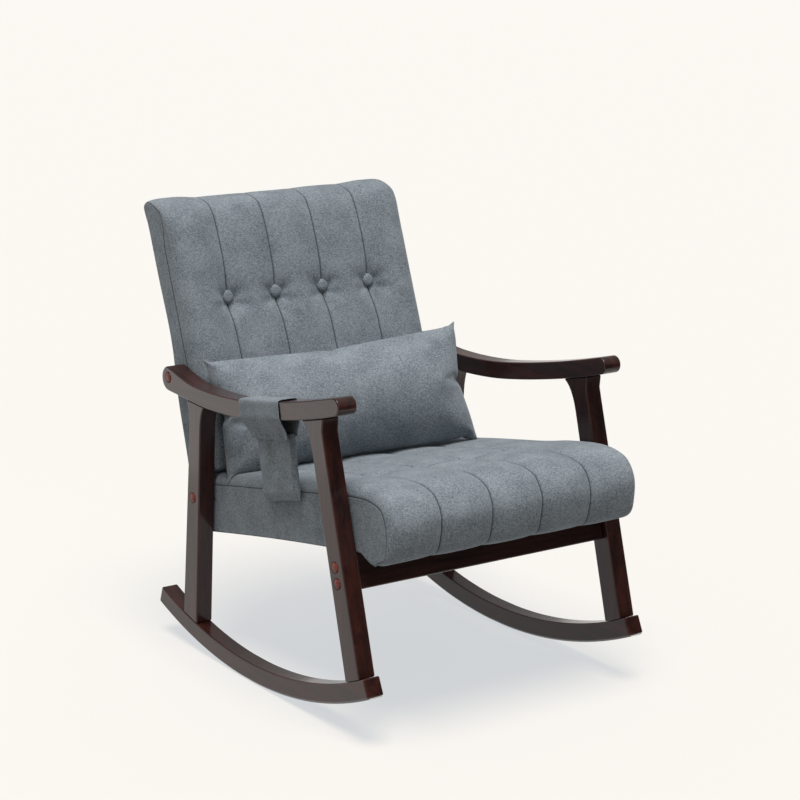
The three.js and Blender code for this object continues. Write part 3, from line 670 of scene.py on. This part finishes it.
def back_padding(x, index):
    in_front = index < len(back_front)
    run = np.where(in_front, back_run[np.minimum(index, len(back_front) - 1)], 9.0)
    crown, gap = between_seams(x, back_seams, cover_half)
    below = run - button_run
    near = np.exp(-((below / 0.060) ** 2))
    sink = CROWN_SINK + LOWER_SINK * fade(run, 0.08, 0.16) + WAIST_SINK * near
    sink = sink * MM * fade(run, 0.01, 0.08)
    height = BACK_PUFF + WAIST_PUFF * near + LOWER_PUFF * fade(below, 0, 0.1)
    height = height * MM * fade(run, 0.02, 0.10)
    outer = fade(np.abs(x), BACK_PITCH * 1.5, BACK_PITCH * 1.5 + 0.055)
    away = np.sqrt(below**2 + gap**2)
    pull = np.exp(-((away / 0.026) ** 2))
    inside = -sink + height * crown * (1 - pull) - BUTTON_PULL * MM * pull
    proud = inside * (1 - outer)
    groove = np.exp(-((gap / 0.0011) ** 2)) * fade(run, 0.0, 0.05)
    proud = proud - BACK_SEAM_DEPTH * MM * groove
    folds = np.cos(6 * np.arctan2(below, gap + 1e-6) + 0.7) * np.exp(-(((away - 0.026) / 0.016) ** 2))
    pucker = hum(x * 9, run * 55, x * 0 + 5.3) * np.exp(-gap / 0.012)
    lumps = hum(x * 10, run * 9, x * 0 + 1.9)
    proud = proud + (BACK_PUCKER * pucker + BACK_LUMPS * lumps + FOLD_RISE * folds) * MM
    height_here = back_loop[index, 1]
    on_rear = index >= len(back_front) + len(back_tail) - 2
    recess = (np.abs(x) < PANEL_EDGE) & on_rear & (height_here > 0.2515) & (height_here < 0.8005)
    # The last value is painted shade along the seams.
    return x, np.where(in_front, proud, np.where(recess, -4.0 * MM, 0.0)), np.where(in_front, groove, 0.0)


def as_it_is(points):
    return points


BACK_CORNER = 0.030
back_depth = np.full(len(back_loop), 0.004)
tail_fade = 1 - fade(back_run, back_run[-1] - 0.13, back_run[-1] - 0.01)
back_depth[: len(back_front)] += 0.012 * fade(back_run, 0.03, 0.09) * tail_fade
back_depth[: len(back_front)] += 0.026 * fade(back_run, 0.08, 0.20) * tail_fade
back = upholstered(
    "backrest",
    back_loop,
    ((0.245, 0.372), (0.372, 0.790)),
    cover_half,
    BACK_CORNER,
    back_depth,
    channel_columns(back_seams, cover_half, BACK_CORNER),
    back_padding,
    as_it_is,
)
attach(back, "chair")
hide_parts("back_cushion")

# ---- Covered buttons ----
# Domed metal shells under the same linen, pulled into the seams of the back by a cord.
BUTTON_ROUND = 0.0132
BUTTON_RISE = 0.0085
BUTTON_LEAN = math.radians(15)
BUTTON_PLACES = ("right_outer", "right_inner", "left_inner", "left_outer")
button_profile = [
    (BUTTON_ROUND * math.cos(a) ** 0.55, BUTTON_RISE * math.sin(a) ** 0.9)
    for a in np.linspace(0, math.pi / 2, 12)[:-1]
]
button_profile = [(BUTTON_ROUND * 0.86, -0.004), (BUTTON_ROUND * 0.96, -0.001), *button_profile]


def make_button(place, x):
    sides = 40
    shape = bmesh.new()
    rings = []
    for radius, rise in button_profile:
        rings.append(
            [
                shape.verts.new((radius * math.cos(a), radius * math.sin(a), rise))
                for a in np.linspace(0, 2 * math.pi, sides, endpoint=False)
            ]
        )
    top = shape.verts.new((0, 0, BUTTON_RISE))
    for low, high in zip(rings[:-1], rings[1:]):
        for i in range(sides):
            j = (i + 1) % sides
            shape.faces.new((low[i], low[j], high[j], high[i]))
    for i in range(sides):
        shape.faces.new((rings[-1][i], rings[-1][(i + 1) % sides], top))
    shape.faces.new(rings[0][::-1])
    axis = Vector((0, -math.cos(BUTTON_LEAN), math.sin(BUTTON_LEAN)))
    turn = axis.to_track_quat("Z", "Y").to_matrix().to_4x4()
    shape.transform(Matrix.Translation((x, 0.2985, BUTTON_Z)) @ turn)
    bmesh.ops.recalc_face_normals(shape, faces=shape.faces)
    mesh = bpy.data.meshes.new(f"button_{place}")
    shape.to_mesh(mesh)
    shape.free()
    mesh.materials.append(linen)
    mesh.shade_smooth()
    button = link(f"button_{place}", mesh)
    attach(button, "chair")
    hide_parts(f"back_button_{place}")


for button_place, button_x in zip(BUTTON_PLACES, back_seams):
    make_button(button_place, button_x)

# ---- Lumbar pillow ----
# Two panels of the same linen sewn round the edge and stuffed: a flat envelope is blown up as cloth,
# which leaves knife edges, gathers and pointed corners. It leans askew on the back.
ENVELOPE = (0.545, 0.262)
PILLOW_SIZE = (0.526, 0.252, 0.132)
PILLOW_STEP = 7.5 * MM
PILLOW_PRESSURE = 14.0
PILLOW_FRAMES = 30
THIN_RIM = 0.30  # how much less the stuffing fills towards the long edges
GATHER_RISE = 9.0  # mm
DRAPE_RISE = 4.2  # mm
REST_GAP = 0.0006
REST_PASSES = 2
MOST_CROSSINGS = 12
INSIDE_RAY = Vector((0.12, -0.31, 0.94)).normalized()
PILLOW_CENTRE = Vector((-0.0150, 0.112, 0.470))
pillow_turn = (
    Matrix.Rotation(math.radians(-13), 4, "Z")
    @ Matrix.Rotation(math.radians(68), 4, "X")
    @ Matrix.Rotation(math.radians(4), 4, "Z")
)


def envelope(name, width, height, step):
    """Two flat panels a few millimetres apart, joined round the edge."""
    across = int(round(width / step))
    up = int(round(height / step))
    shape = bmesh.new()
    layers = []
    for side in (-1, 1):
        grid = {}
        for i in range(across + 1):
            for j in range(up + 1):
                rim = i in (0, across) or j in (0, up)
                if rim and side > 0:
                    grid[i, j] = layers[0][i, j]
                    continue
                x = (i / across - 0.5) * width
                y = (j / up - 0.5) * height
                dip = 0 if rim else 2 * MM + 0.6 * MM * noise.noise(Vector((x * 14, y * 14, side * 2.0)))
                grid[i, j] = shape.verts.new((x, y, side * dip))
        layers.append(grid)
        for i in range(across):
            for j in range(up):
                corners = [grid[i, j], grid[i + 1, j], grid[i + 1, j + 1], grid[i, j + 1]]
                shape.faces.new(corners if side > 0 else corners[::-1])
    mesh = bpy.data.meshes.new(name)
    shape.to_mesh(mesh)
    shape.free()
    return link(name, mesh)


def blow_up(piece, pressure, frames):
    """Lets the cloth swell under an even pressure, with no gravity, and keeps the shape it reaches."""
    cloth = piece.modifiers.new("cloth", "CLOTH")
    settings = cloth.settings
    settings.quality = 6
    settings.mass = 0.25
    settings.tension_stiffness = 14
    settings.compression_stiffness = 10
    settings.shear_stiffness = 4
    settings.bending_stiffness = 0.2
    settings.use_pressure = True
    settings.uniform_pressure_force = pressure
    settings.effector_weights.gravity = 0
    cloth.collision_settings.use_collision = False
    cloth.point_cache.frame_start = 1
    cloth.point_cache.frame_end = frames
    for step in range(1, frames + 1):
        scene.frame_set(step)
    freeze(piece)
    scene.frame_set(1)


def rest_on(piece, below):
    """Flattens a soft piece where it would sink into the one that it leans on."""
    surface = bmesh.new()
    surface.from_mesh(below.data)
    tree = BVHTree.FromBMesh(surface)
    surface.free()
    for vertex in piece.data.vertices:
        crossings, start = 0, vertex.co.copy()
        while crossings < MOST_CROSSINGS:
            hit = tree.ray_cast(start, INSIDE_RAY)[0]
            if hit is None:
                break
            crossings += 1
            start = hit + INSIDE_RAY * 1e-5
        if crossings % 2:
            nearest = tree.find_nearest(vertex.co)[0]
            outward_way = (nearest - vertex.co).normalized()
            vertex.co = nearest + outward_way * REST_GAP


PANEL_HOLD = 0.22  # share of each panel's own straight edges that the stuffing leaves
pillow = envelope("pillow", *ENVELOPE, PILLOW_STEP)
flat_points = np.array([v.co for v in pillow.data.vertices])
blow_up(pillow, PILLOW_PRESSURE, PILLOW_FRAMES)
points = np.array([v.co for v in pillow.data.vertices])
points[:, :2] += PANEL_HOLD * (flat_points[:, :2] - points[:, :2])
low, high = points.min(0), points.max(0)
points = (points - (low + high) / 2) / (high - low) * np.array(PILLOW_SIZE)
half_width, half_height = np.array(ENVELOPE) / 2
inset_x = half_width - np.abs(flat_points[:, 0])
inset_y = half_height - np.abs(flat_points[:, 1])
gather_x = hum(flat_points[:, 0] * 34, inset_y * 9, np.sign(flat_points[:, 1] + flat_points[:, 2]))
gather_y = hum(inset_x * 9, flat_points[:, 1] * 34, np.sign(flat_points[:, 0]) + 6.5)
drape = hum(flat_points[:, 0] * 9, flat_points[:, 1] * 13, flat_points[:, 0] * 0 + 2.2)
swell = gather_x * np.exp(-inset_y / 0.030) * (1 - np.exp(-inset_y / 0.006))
swell = swell + gather_y * np.exp(-inset_x / 0.034) * (1 - np.exp(-inset_x / 0.006))
points[:, 2] *= 1 - THIN_RIM * (flat_points[:, 1] / half_height) ** 2
folds = GATHER_RISE * swell + DRAPE_RISE * drape * fade(inset_y, 0.0, 0.05)
points[:, 2] += np.sign(flat_points[:, 2]) * folds * MM
for vertex, point in zip(pillow.data.vertices, points):
    vertex.co = pillow_turn @ Vector(point) + PILLOW_CENTRE
pillow.data.materials.append(linen)
pillow.data.shade_smooth()
finer = pillow.modifiers.new("finer", "SUBSURF")
finer.levels = finer.render_levels = 1
freeze(pillow)
for _ in range(REST_PASSES):
    for below in (back, seat):
        rest_on(pillow, below)
pillow.data.shade_smooth()
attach(pillow, "lumbar_pillow")
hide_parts("lumbar_pillow")

# ---- Side pocket ----
# A band of the seat's linen goes over the right-hand armrest. Its outer flap hangs in front of a
# flat pouch that is sewn to the inner end, so the pouch hangs free beside the seat.
POCKET_Y = -0.072
ARM_UNDERSIDE = 0.5113
ARM_HEIGHT = 0.0352
POCKET_SLOPE = math.radians(-9.9)
BAND_WIDTH = 0.140
CLOTH = 0.0016
BAND_OUT = -0.3081
BAND_IN = -0.2678
POUCH_IN = -0.2730
POUCH_OUT = -0.2846
FLAP_DROP = 0.037
POUCH_DROP = 0.026
POUCH_HEIGHT = 0.124
POUCH_WIDTH = 0.126
BAND_RIDGE = -0.288  # X of the band's middle, over the top of the armrest


def hang(points):
    """From the armrest's own slope (X, along the armrest, up) to the chair."""
    c, s = math.cos(POCKET_SLOPE), math.sin(POCKET_SLOPE)
    x, y, z = points.T
    return np.column_stack([x, y * c - z * s + POCKET_Y, y * s + z * c + ARM_UNDERSIDE])


def cloth_sheet(name, grid, thick, cloth, place):
    """A sheet from rows of points, given its thickness half to each side."""
    rows, columns = grid.shape[:2]
    vertices = place(grid.reshape(-1, 3))
    faces = []
    for r in range(rows - 1):
        for c in range(columns - 1):
            a = r * columns + c
            faces.append((a, a + 1, a + columns + 1, a + columns))
    mesh = bpy.data.meshes.new(name)
    mesh.from_pydata(vertices.tolist(), [], faces)
    mesh.materials.append(cloth)
    piece = link(name, mesh)
    wall = piece.modifiers.new("wall", "SOLIDIFY")
    wall.thickness = thick
    wall.offset = 0
    soften = piece.modifiers.new("soften", "SUBSURF")
    soften.levels = soften.render_levels = 1
    mesh.shade_smooth()
    freeze(piece)
    piece.data.shade_smooth()
    return piece


band_path = curve_through(
    [
        (POUCH_OUT - 0.0058, -FLAP_DROP),
        (-0.2940, -0.022),
        (-0.3035, -0.007),
        (BAND_OUT - 0.0004, 0.004),
        (BAND_OUT - 0.0006, 0.018),
        (BAND_OUT - 0.0002, ARM_HEIGHT - 0.003),
        (BAND_OUT + 0.0030, ARM_HEIGHT + 0.0014),
        (-0.288, ARM_HEIGHT + 0.0022),
        (BAND_IN - 0.0035, ARM_HEIGHT + 0.0014),
        (BAND_IN, ARM_HEIGHT - 0.003),
        (BAND_IN, 0.010),
        (BAND_IN, -0.004),
        (POUCH_IN + 0.0006, -0.020),
        (POUCH_IN + 0.0004, -POUCH_DROP - 0.006),
    ],
    3 * MM,
)
along = np.linspace(-BAND_WIDTH / 2, BAND_WIDTH / 2, 41)
band_grid = np.zeros((len(band_path), len(along), 3))
for r, (px, pz) in enumerate(band_path):
    for c, y in enumerate(along):
        free = fade(-pz, 0.0, FLAP_DROP)
        ripple = noise.noise(Vector((y * 38, pz * 22, 4.2))) * (0.5 + 5.0 * free) * MM
        narrow = 1 - 0.05 * free
        out = abs(ripple) if px < BAND_RIDGE else 0
        band_grid[r, c] = (px - out, y * narrow, pz + 0.3 * ripple * free)
band = cloth_sheet("pocket_band_cloth", band_grid, CLOTH, linen, hang)
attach(band, "chair")
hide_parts("pocket_band")

pouch_rows = 34
half_pouch = POUCH_WIDTH / 2
pouch_ring = []
for px, py in even(
    np.array(
        [
            (POUCH_OUT, -half_pouch + 0.004),
            (POUCH_OUT, half_pouch - 0.004),
            ((POUCH_OUT + POUCH_IN) / 2, half_pouch),
            (POUCH_IN, half_pouch - 0.004),
            (POUCH_IN, -half_pouch + 0.004),
            ((POUCH_OUT + POUCH_IN) / 2, -half_pouch),
            (POUCH_OUT, -half_pouch + 0.004),
        ]
    ),
    4 * MM,
):
    pouch_ring.append((px, py))
pouch_middle = (POUCH_OUT + POUCH_IN) / 2
pouch_grid = np.zeros((pouch_rows, len(pouch_ring), 3))
for r in range(pouch_rows):
    down = r / (pouch_rows - 1)
    close = 1 - fade(down, 0.86, 1.0) * 0.93
    belly = 1 + 0.10 * math.sin(math.pi * min(1.0, down * 1.15))
    for c, (px, py) in enumerate(pouch_ring):
        outer_face = px < pouch_middle
        crease = noise.noise(Vector((py * 26, down * 3.2 + (0 if outer_face else 9), 2.4)))
        x = pouch_middle + (px - pouch_middle) * close * (belly if outer_face else 1.0)
        x += (3.4 if outer_face else 0.4) * crease * MM * fade(down, 0.05, 0.3) * close
        drop = POUCH_DROP + POUCH_HEIGHT * down + 0.003 * math.sin(py * 30) * down
        pouch_grid[r, c] = (x, py * (1 - 0.03 * math.sin(math.pi * down)), -drop)
pouch = cloth_sheet("pocket_pouch_cloth", pouch_grid, CLOTH, linen, hang)
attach(pouch, "chair")
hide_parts("pocket_pouch")

# ---- Stitches ----
# Lock stitches in a paler grey thread along the pocket's two hems. Each is one short bead of
# thread, laid end to end along the hem.
THREAD_PITCH = 0.0034
THREAD_SIZE = (0.0025, 0.0007, 0.0006)
HEM_FROM_EDGE = 0.005


def start_tree(name, inputs, output):
    """An empty node tree with these named inputs, and the identifier of each."""
    tree = bpy.data.node_groups.new(name, "GeometryNodeTree")
    tree.is_modifier = True
    sockets = {}
    for title, kind in inputs.items():
        socket = tree.interface.new_socket(
            name=title, in_out="INPUT", socket_type=f"NodeSocket{kind}"
        )
        sockets[title] = socket.identifier
    tree.interface.new_socket(name=output, in_out="OUTPUT", socket_type="NodeSocketGeometry")
    return tree, sockets


def end_tree(tree, given, instances, output):
    """Make the instances real, in the given material, and hand them out."""
    add, wire = tree.nodes.new, tree.links.new
    real = add("GeometryNodeRealizeInstances")
    finish = add("GeometryNodeSetMaterial")
    made = add("NodeGroupOutput")
    wire(instances, real.inputs["Geometry"])
    wire(real.outputs["Geometry"], finish.inputs["Geometry"])
    wire(given.outputs["Material"], finish.inputs["Material"])
    wire(finish.outputs["Geometry"], made.inputs[output])


def beads_along(name):
    """A node tree that lays one rounded bead after another along a line of edges."""
    inputs = {"Line": "Geometry", "Pitch": "Float", "Bead Size": "Vector", "Material": "Material"}
    tree, sockets = start_tree(name, inputs, "Beads")
    add, wire = tree.nodes.new, tree.links.new
    given = add("NodeGroupInput")
    curve = add("GeometryNodeMeshToCurve")
    spaced = add("GeometryNodeResampleCurve")
    spaced.mode = "LENGTH"
    tangent = add("GeometryNodeInputTangent")
    turn = add("FunctionNodeAlignRotationToVector")
    turn.axis = "X"
    bead = add("GeometryNodeMeshUVSphere")
    bead.inputs["Segments"].default_value = 8
    bead.inputs["Rings"].default_value = 6
    bead.inputs["Radius"].default_value = 0.5
    lay = add("GeometryNodeInstanceOnPoints")
    wire(given.outputs["Line"], curve.inputs["Mesh"])
    wire(curve.outputs["Curve"], spaced.inputs["Curve"])
    wire(given.outputs["Pitch"], spaced.inputs["Length"])
    wire(spaced.outputs["Curve"], lay.inputs["Points"])
    wire(bead.outputs["Mesh"], lay.inputs["Instance"])
    wire(tangent.outputs["Tangent"], turn.inputs["Vector"])
    wire(turn.outputs["Rotation"], lay.inputs["Rotation"])
    wire(given.outputs["Bead Size"], lay.inputs["Scale"])
    end_tree(tree, given, lay.outputs["Instances"], "Beads")
    return tree, sockets


bead_tree, bead_sockets = beads_along("beads_along_a_line")


def lay_beads(name, lines, pitch, size, material):
    mesh = bpy.data.meshes.new(name)
    corners, links = [], []
    for line in lines:
        links += [(len(corners) + i, len(corners) + i + 1) for i in range(len(line) - 1)]
        corners += [tuple(p) for p in line]
    mesh.from_pydata(corners, links, [])
    piece = link(name, mesh)
    maker = piece.modifiers.new("beads", "NODES")
    maker.node_group = bead_tree
    maker[bead_sockets["Pitch"]] = pitch
    maker[bead_sockets["Bead Size"]] = size
    maker[bead_sockets["Material"]] = material
    freeze(piece)
    piece.data.shade_smooth()
    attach(piece, "chair")
    return piece


thread = make_cloth("grey_thread", (0.16, 0.175, 0.19), (0.26, 0.28, 0.30))
hem_row = int(round(HEM_FROM_EDGE / (3 * MM)))
hem_lift = np.array([-(CLOTH / 2 + 0.1 * MM), 0, 0])
flap_hem = hang(band_grid[hem_row, 1:-1] + hem_lift)
pouch_hem_row = pouch_rows - 4
outer_face = [c for c, (px, py) in enumerate(pouch_ring) if px <= POUCH_OUT + 1e-6]
pouch_hem = hang(pouch_grid[pouch_hem_row, outer_face] + hem_lift)
stitches = lay_beads("pocket_stitches", [flap_hem, pouch_hem], THREAD_PITCH, THREAD_SIZE, thread)

# ---- Bolt covers ----
# Reddish stained birch caps, pushed into the counterbores over each bolt, with a low dome that
# stands a little proud of the board.
CAP_RISE = 0.0016
DOME_CURVE = 2.6  # a higher power keeps the dome flatter in its middle
cap_wood = make_wood("cover_birch", 1, (0.09, 0.012, 0.007), (0.23, 0.038, 0.020), 0.35)
CAP_NODES = [
    f"{place}_{side}"
    for side in ("left", "right")
    for place in ("front_bolt_cover_lower", "front_bolt_cover_upper", "rear_bolt_cover", "arm_bolt_cover")
]


def domed_caps(name):
    """A node tree that sets a low-domed plug on each point, facing the way the point says."""
    inputs = {
        "Places": "Geometry",
        "Radius": "Float",
        "Height": "Float",
        "Dome Rise": "Float",
        "Material": "Material",
    }
    tree, sockets = start_tree(name, inputs, "Caps")
    add, wire = tree.nodes.new, tree.links.new
    given = add("NodeGroupInput")
    plug = add("GeometryNodeMeshCylinder")
    plug.inputs["Vertices"].default_value = 40
    plug.inputs["Fill Segments"].default_value = 6
    wire(given.outputs["Radius"], plug.inputs["Radius"])
    wire(given.outputs["Height"], plug.inputs["Depth"])
    spot = add("GeometryNodeInputPosition")
    parts = add("ShaderNodeSeparateXYZ")
    wire(spot.outputs["Position"], parts.inputs["Vector"])
    flat = add("ShaderNodeCombineXYZ")
    wire(parts.outputs["X"], flat.inputs["X"])
    wire(parts.outputs["Y"], flat.inputs["Y"])
    reach = add("ShaderNodeVectorMath")
    reach.operation = "LENGTH"
    wire(flat.outputs["Vector"], reach.inputs[0])

    def result_of(operation, first, second):
        node = add("ShaderNodeMath")
        node.operation = operation
        wire(first, node.inputs[0])
        if isinstance(second, float):
            node.inputs[1].default_value = second
        else:
            wire(second, node.inputs[1])
        return node.outputs["Value"]

    share = result_of("DIVIDE", reach.outputs["Value"], given.outputs["Radius"])
    fall = result_of("MULTIPLY", result_of("POWER", share, DOME_CURVE), given.outputs["Dome Rise"])
    offset = add("ShaderNodeCombineXYZ")
    wire(result_of("MULTIPLY", fall, -1.0), offset.inputs["Z"])
    upper = add("FunctionNodeCompare")
    upper.operation = "GREATER_THAN"
    upper.inputs["B"].default_value = 0.0
    wire(parts.outputs["Z"], upper.inputs["A"])
    dome = add("GeometryNodeSetPosition")
    wire(plug.outputs["Mesh"], dome.inputs["Geometry"])
    wire(upper.outputs["Result"], dome.inputs["Selection"])
    wire(offset.outputs["Vector"], dome.inputs["Offset"])
    facing = add("GeometryNodeInputNamedAttribute")
    facing.data_type = "FLOAT_VECTOR"
    facing.inputs["Name"].default_value = "facing"
    turn = add("FunctionNodeAlignRotationToVector")
    turn.axis = "Z"
    wire(facing.outputs["Attribute"], turn.inputs["Vector"])
    set_in = add("GeometryNodeInstanceOnPoints")
    wire(given.outputs["Places"], set_in.inputs["Points"])
    wire(dome.outputs["Geometry"], set_in.inputs["Instance"])
    wire(turn.outputs["Rotation"], set_in.inputs["Rotation"])
    end_tree(tree, given, set_in.outputs["Instances"], "Caps")
    return tree, sockets


cap_mesh = bpy.data.meshes.new("bolt_caps")
cap_boxes = [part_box(node) for node in CAP_NODES]
cap_mesh.from_pydata([tuple((low + high) / 2) for low, high in cap_boxes], [], [])
cap_facing = cap_mesh.attributes.new("facing", "FLOAT_VECTOR", "POINT")
cap_facing.data.foreach_set("vector", [v for low, _ in cap_boxes for v in (math.copysign(1, low.x), 0, 0)])
caps = link("bolt_caps", cap_mesh)
cap_tree, cap_sockets = domed_caps("domed_caps")
cap_maker = caps.modifiers.new("caps", "NODES")
cap_maker.node_group = cap_tree
cap_size = cap_boxes[0][1] - cap_boxes[0][0]
cap_maker[cap_sockets["Radius"]] = cap_size.y / 2
cap_maker[cap_sockets["Height"]] = cap_size.x
cap_maker[cap_sockets["Dome Rise"]] = CAP_RISE
cap_maker[cap_sockets["Material"]] = cap_wood
freeze(caps)
caps.data.shade_smooth()
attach(caps, "chair")
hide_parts(*CAP_NODES)

# ---- Outer back panel ----
# A panel of the same linen, pulled tight and blind-tacked over the rear of the back's frame.
REAR_INSET = 2.4 * MM
panel_low, panel_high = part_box("back_outer_panel")
rear_line = even(back_rear[(back_rear[:, 1] > panel_low.z) & (back_rear[:, 1] < panel_high.z)], 8 * MM)
rear_slope = np.gradient(rear_line, axis=0)
rear_out = np.column_stack([rear_slope[:, 1], -rear_slope[:, 0]])
rear_out /= np.linalg.norm(rear_out, axis=1)[:, None]
panel_x = np.linspace(panel_low.x + 1.2 * MM, panel_high.x - 1.2 * MM, 66)
panel_grid = np.zeros((len(rear_line), len(panel_x), 3))
for r, (py, pz) in enumerate(rear_line):
    for c, x in enumerate(panel_x):
        pull = noise.noise(Vector((x * 8, pz * 8, 3.3))) * 0.8 * MM
        edge = min(x - panel_low.x, panel_high.x - x) / 0.012
        lift = pull * min(1, edge) - REAR_INSET + 0.9 * MM * min(1, edge)
        panel_grid[r, c] = (x, py + rear_out[r, 0] * lift, pz + rear_out[r, 1] * lift)
panel = cloth_sheet("back_outer_linen", panel_grid, CLOTH, linen, as_it_is)
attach(panel, "chair")
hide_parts("back_outer_panel")

# ---- Dust cover ----
# Black non-woven lining stapled under the seat's frame, sagging a little between its staples.
cover_low, cover_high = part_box("seat_dust_cover")
COVER_SAG = 3 * MM
LINING = 0.6 * MM
STAPLE_PITCH = 0.038
STAPLE_SIZE = (0.010, 0.0013, 0.0011)
STAPLE_INSET = 0.009
STAPLE_DROP = 1.5 * MM  # below the face that the cover is stapled to
front_edge = np.array([cover_low.y, cover_high.z])
rear_edge = np.array([cover_high.y, cover_low.z])
cover_run = float(np.linalg.norm(rear_edge - front_edge))
down_way = np.array([front_edge[1] - rear_edge[1], rear_edge[0] - front_edge[0]]) / -cover_run
cover_start = front_edge + (rear_edge - front_edge) * 0.0014


def under_seat(share, x, drop):
    y, z = cover_start + (rear_edge - front_edge) * share * 0.997 + down_way * drop
    return (x, y, z)


cover_rows, cover_columns = 64, 66
cover_grid = np.zeros((cover_rows, cover_columns, 3))
for r in range(cover_rows):
    for c in range(cover_columns):
        u, v = c / (cover_columns - 1), r / (cover_rows - 1)
        x = (cover_low.x + 0.6 * MM) * (1 - u) + (cover_high.x - 0.6 * MM) * u
        sag = (16 * u * (1 - u) * v * (1 - v)) ** 0.6 * COVER_SAG
        crease = noise.noise(Vector((x * 12, v * 7, 1.4))) * 1.1 * MM * min(1, 12 * min(u, v, 1 - u, 1 - v))
        cover_grid[r, c] = under_seat(v, x, 0.7 * MM + sag + abs(crease))
lining = make_cloth("black_lining", (0.006, 0.006, 0.0065), (0.018, 0.018, 0.019))
dust_cover = cloth_sheet("dust_cover_lining", cover_grid, LINING, lining, as_it_is)
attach(dust_cover, "chair")
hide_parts("seat_dust_cover")


def make_steel(name):
    """Zinc plating: bright, lightly rubbed metal with a fine mottle."""
    material = bpy.data.materials.new(name)
    material.use_nodes = True
    shader = shader_of(material)
    add, wire = material.node_tree.nodes.new, material.node_tree.links.new
    place, texture = add("ShaderNodeTexCoord"), add("ShaderNodeTexNoise")
    colours = add("ShaderNodeValToRGB")
    texture.inputs["Scale"].default_value = 900
    colours.color_ramp.elements[0].color = (0.42, 0.43, 0.45, 1)
    colours.color_ramp.elements[1].color = (0.66, 0.67, 0.68, 1)
    wire(place.outputs["Object"], texture.inputs["Vector"])
    wire(texture.outputs["Fac"], colours.inputs["Fac"])
    wire(colours.outputs["Color"], shader.inputs["Base Color"])
    shader.inputs["Metallic"].default_value = 1.0
    shader.inputs["Roughness"].default_value = 0.38
    return material


steel = make_steel("zinc_steel")
staple_lines = []
for x in (cover_low.x + STAPLE_INSET, cover_high.x - STAPLE_INSET):
    staple_lines.append([under_seat(v, x, STAPLE_DROP) for v in np.linspace(0.03, 0.97, 24)])
staple_x = np.linspace(cover_low.x + 0.02, cover_high.x - 0.02, 24)
for v in (0.02, 0.98):
    staple_lines.append([under_seat(v, x, STAPLE_DROP) for x in staple_x])
staples = lay_beads("dust_cover_staples", staple_lines, STAPLE_PITCH, STAPLE_SIZE, steel)

# ---- Inner frame, webbing, dowels, bolts and rocker strips ----
# These keep the shapes they were made with. The frame and dowels are raw beech, the straps are dark
# elastic webbing, the bolts are zinc-plated and the strips under the rockers are a pale hard rubber.
BEECH_DARK = (0.36, 0.22, 0.12)
BEECH_LIGHT = (0.56, 0.39, 0.24)
beech = [make_wood(f"raw_beech_{n}", i, BEECH_DARK, BEECH_LIGHT, 0.0) for i, n in enumerate(GRAIN_NAMES)]
webbing = make_cloth("elastic_webbing", (0.030, 0.030, 0.028), (0.085, 0.083, 0.078))
rubber = make_cloth("strip_rubber", (0.36, 0.35, 0.33), (0.46, 0.45, 0.43))
shader_of(rubber).inputs["Sheen Weight"].default_value = 0.0
shader_of(rubber).inputs["Roughness"].default_value = 0.6
FINISHES = {
    "rocker_strip": rubber,
    "seat_webbing": webbing,
    "back_webbing": webbing,
    "foot_dowel": beech[2],
    "arm_dowel": beech[2],
    "seat_side_rail": beech[1],
    "seat_front_rail": beech[0],
    "seat_rear_rail": beech[0],
    "back_stile": beech[2],
    "back_top_rail": beech[0],
    "back_low_rail": beech[0],
    "bolt_lower": steel,
    "bolt_upper": steel,
    "rear_bolt": steel,
    "arm_bolt": steel,
}
for node, part in nodes.items():
    for key, finish in FINISHES.items():
        if key in node and "cover" not in node:
            part.data.materials.clear()
            part.data.materials.append(finish)
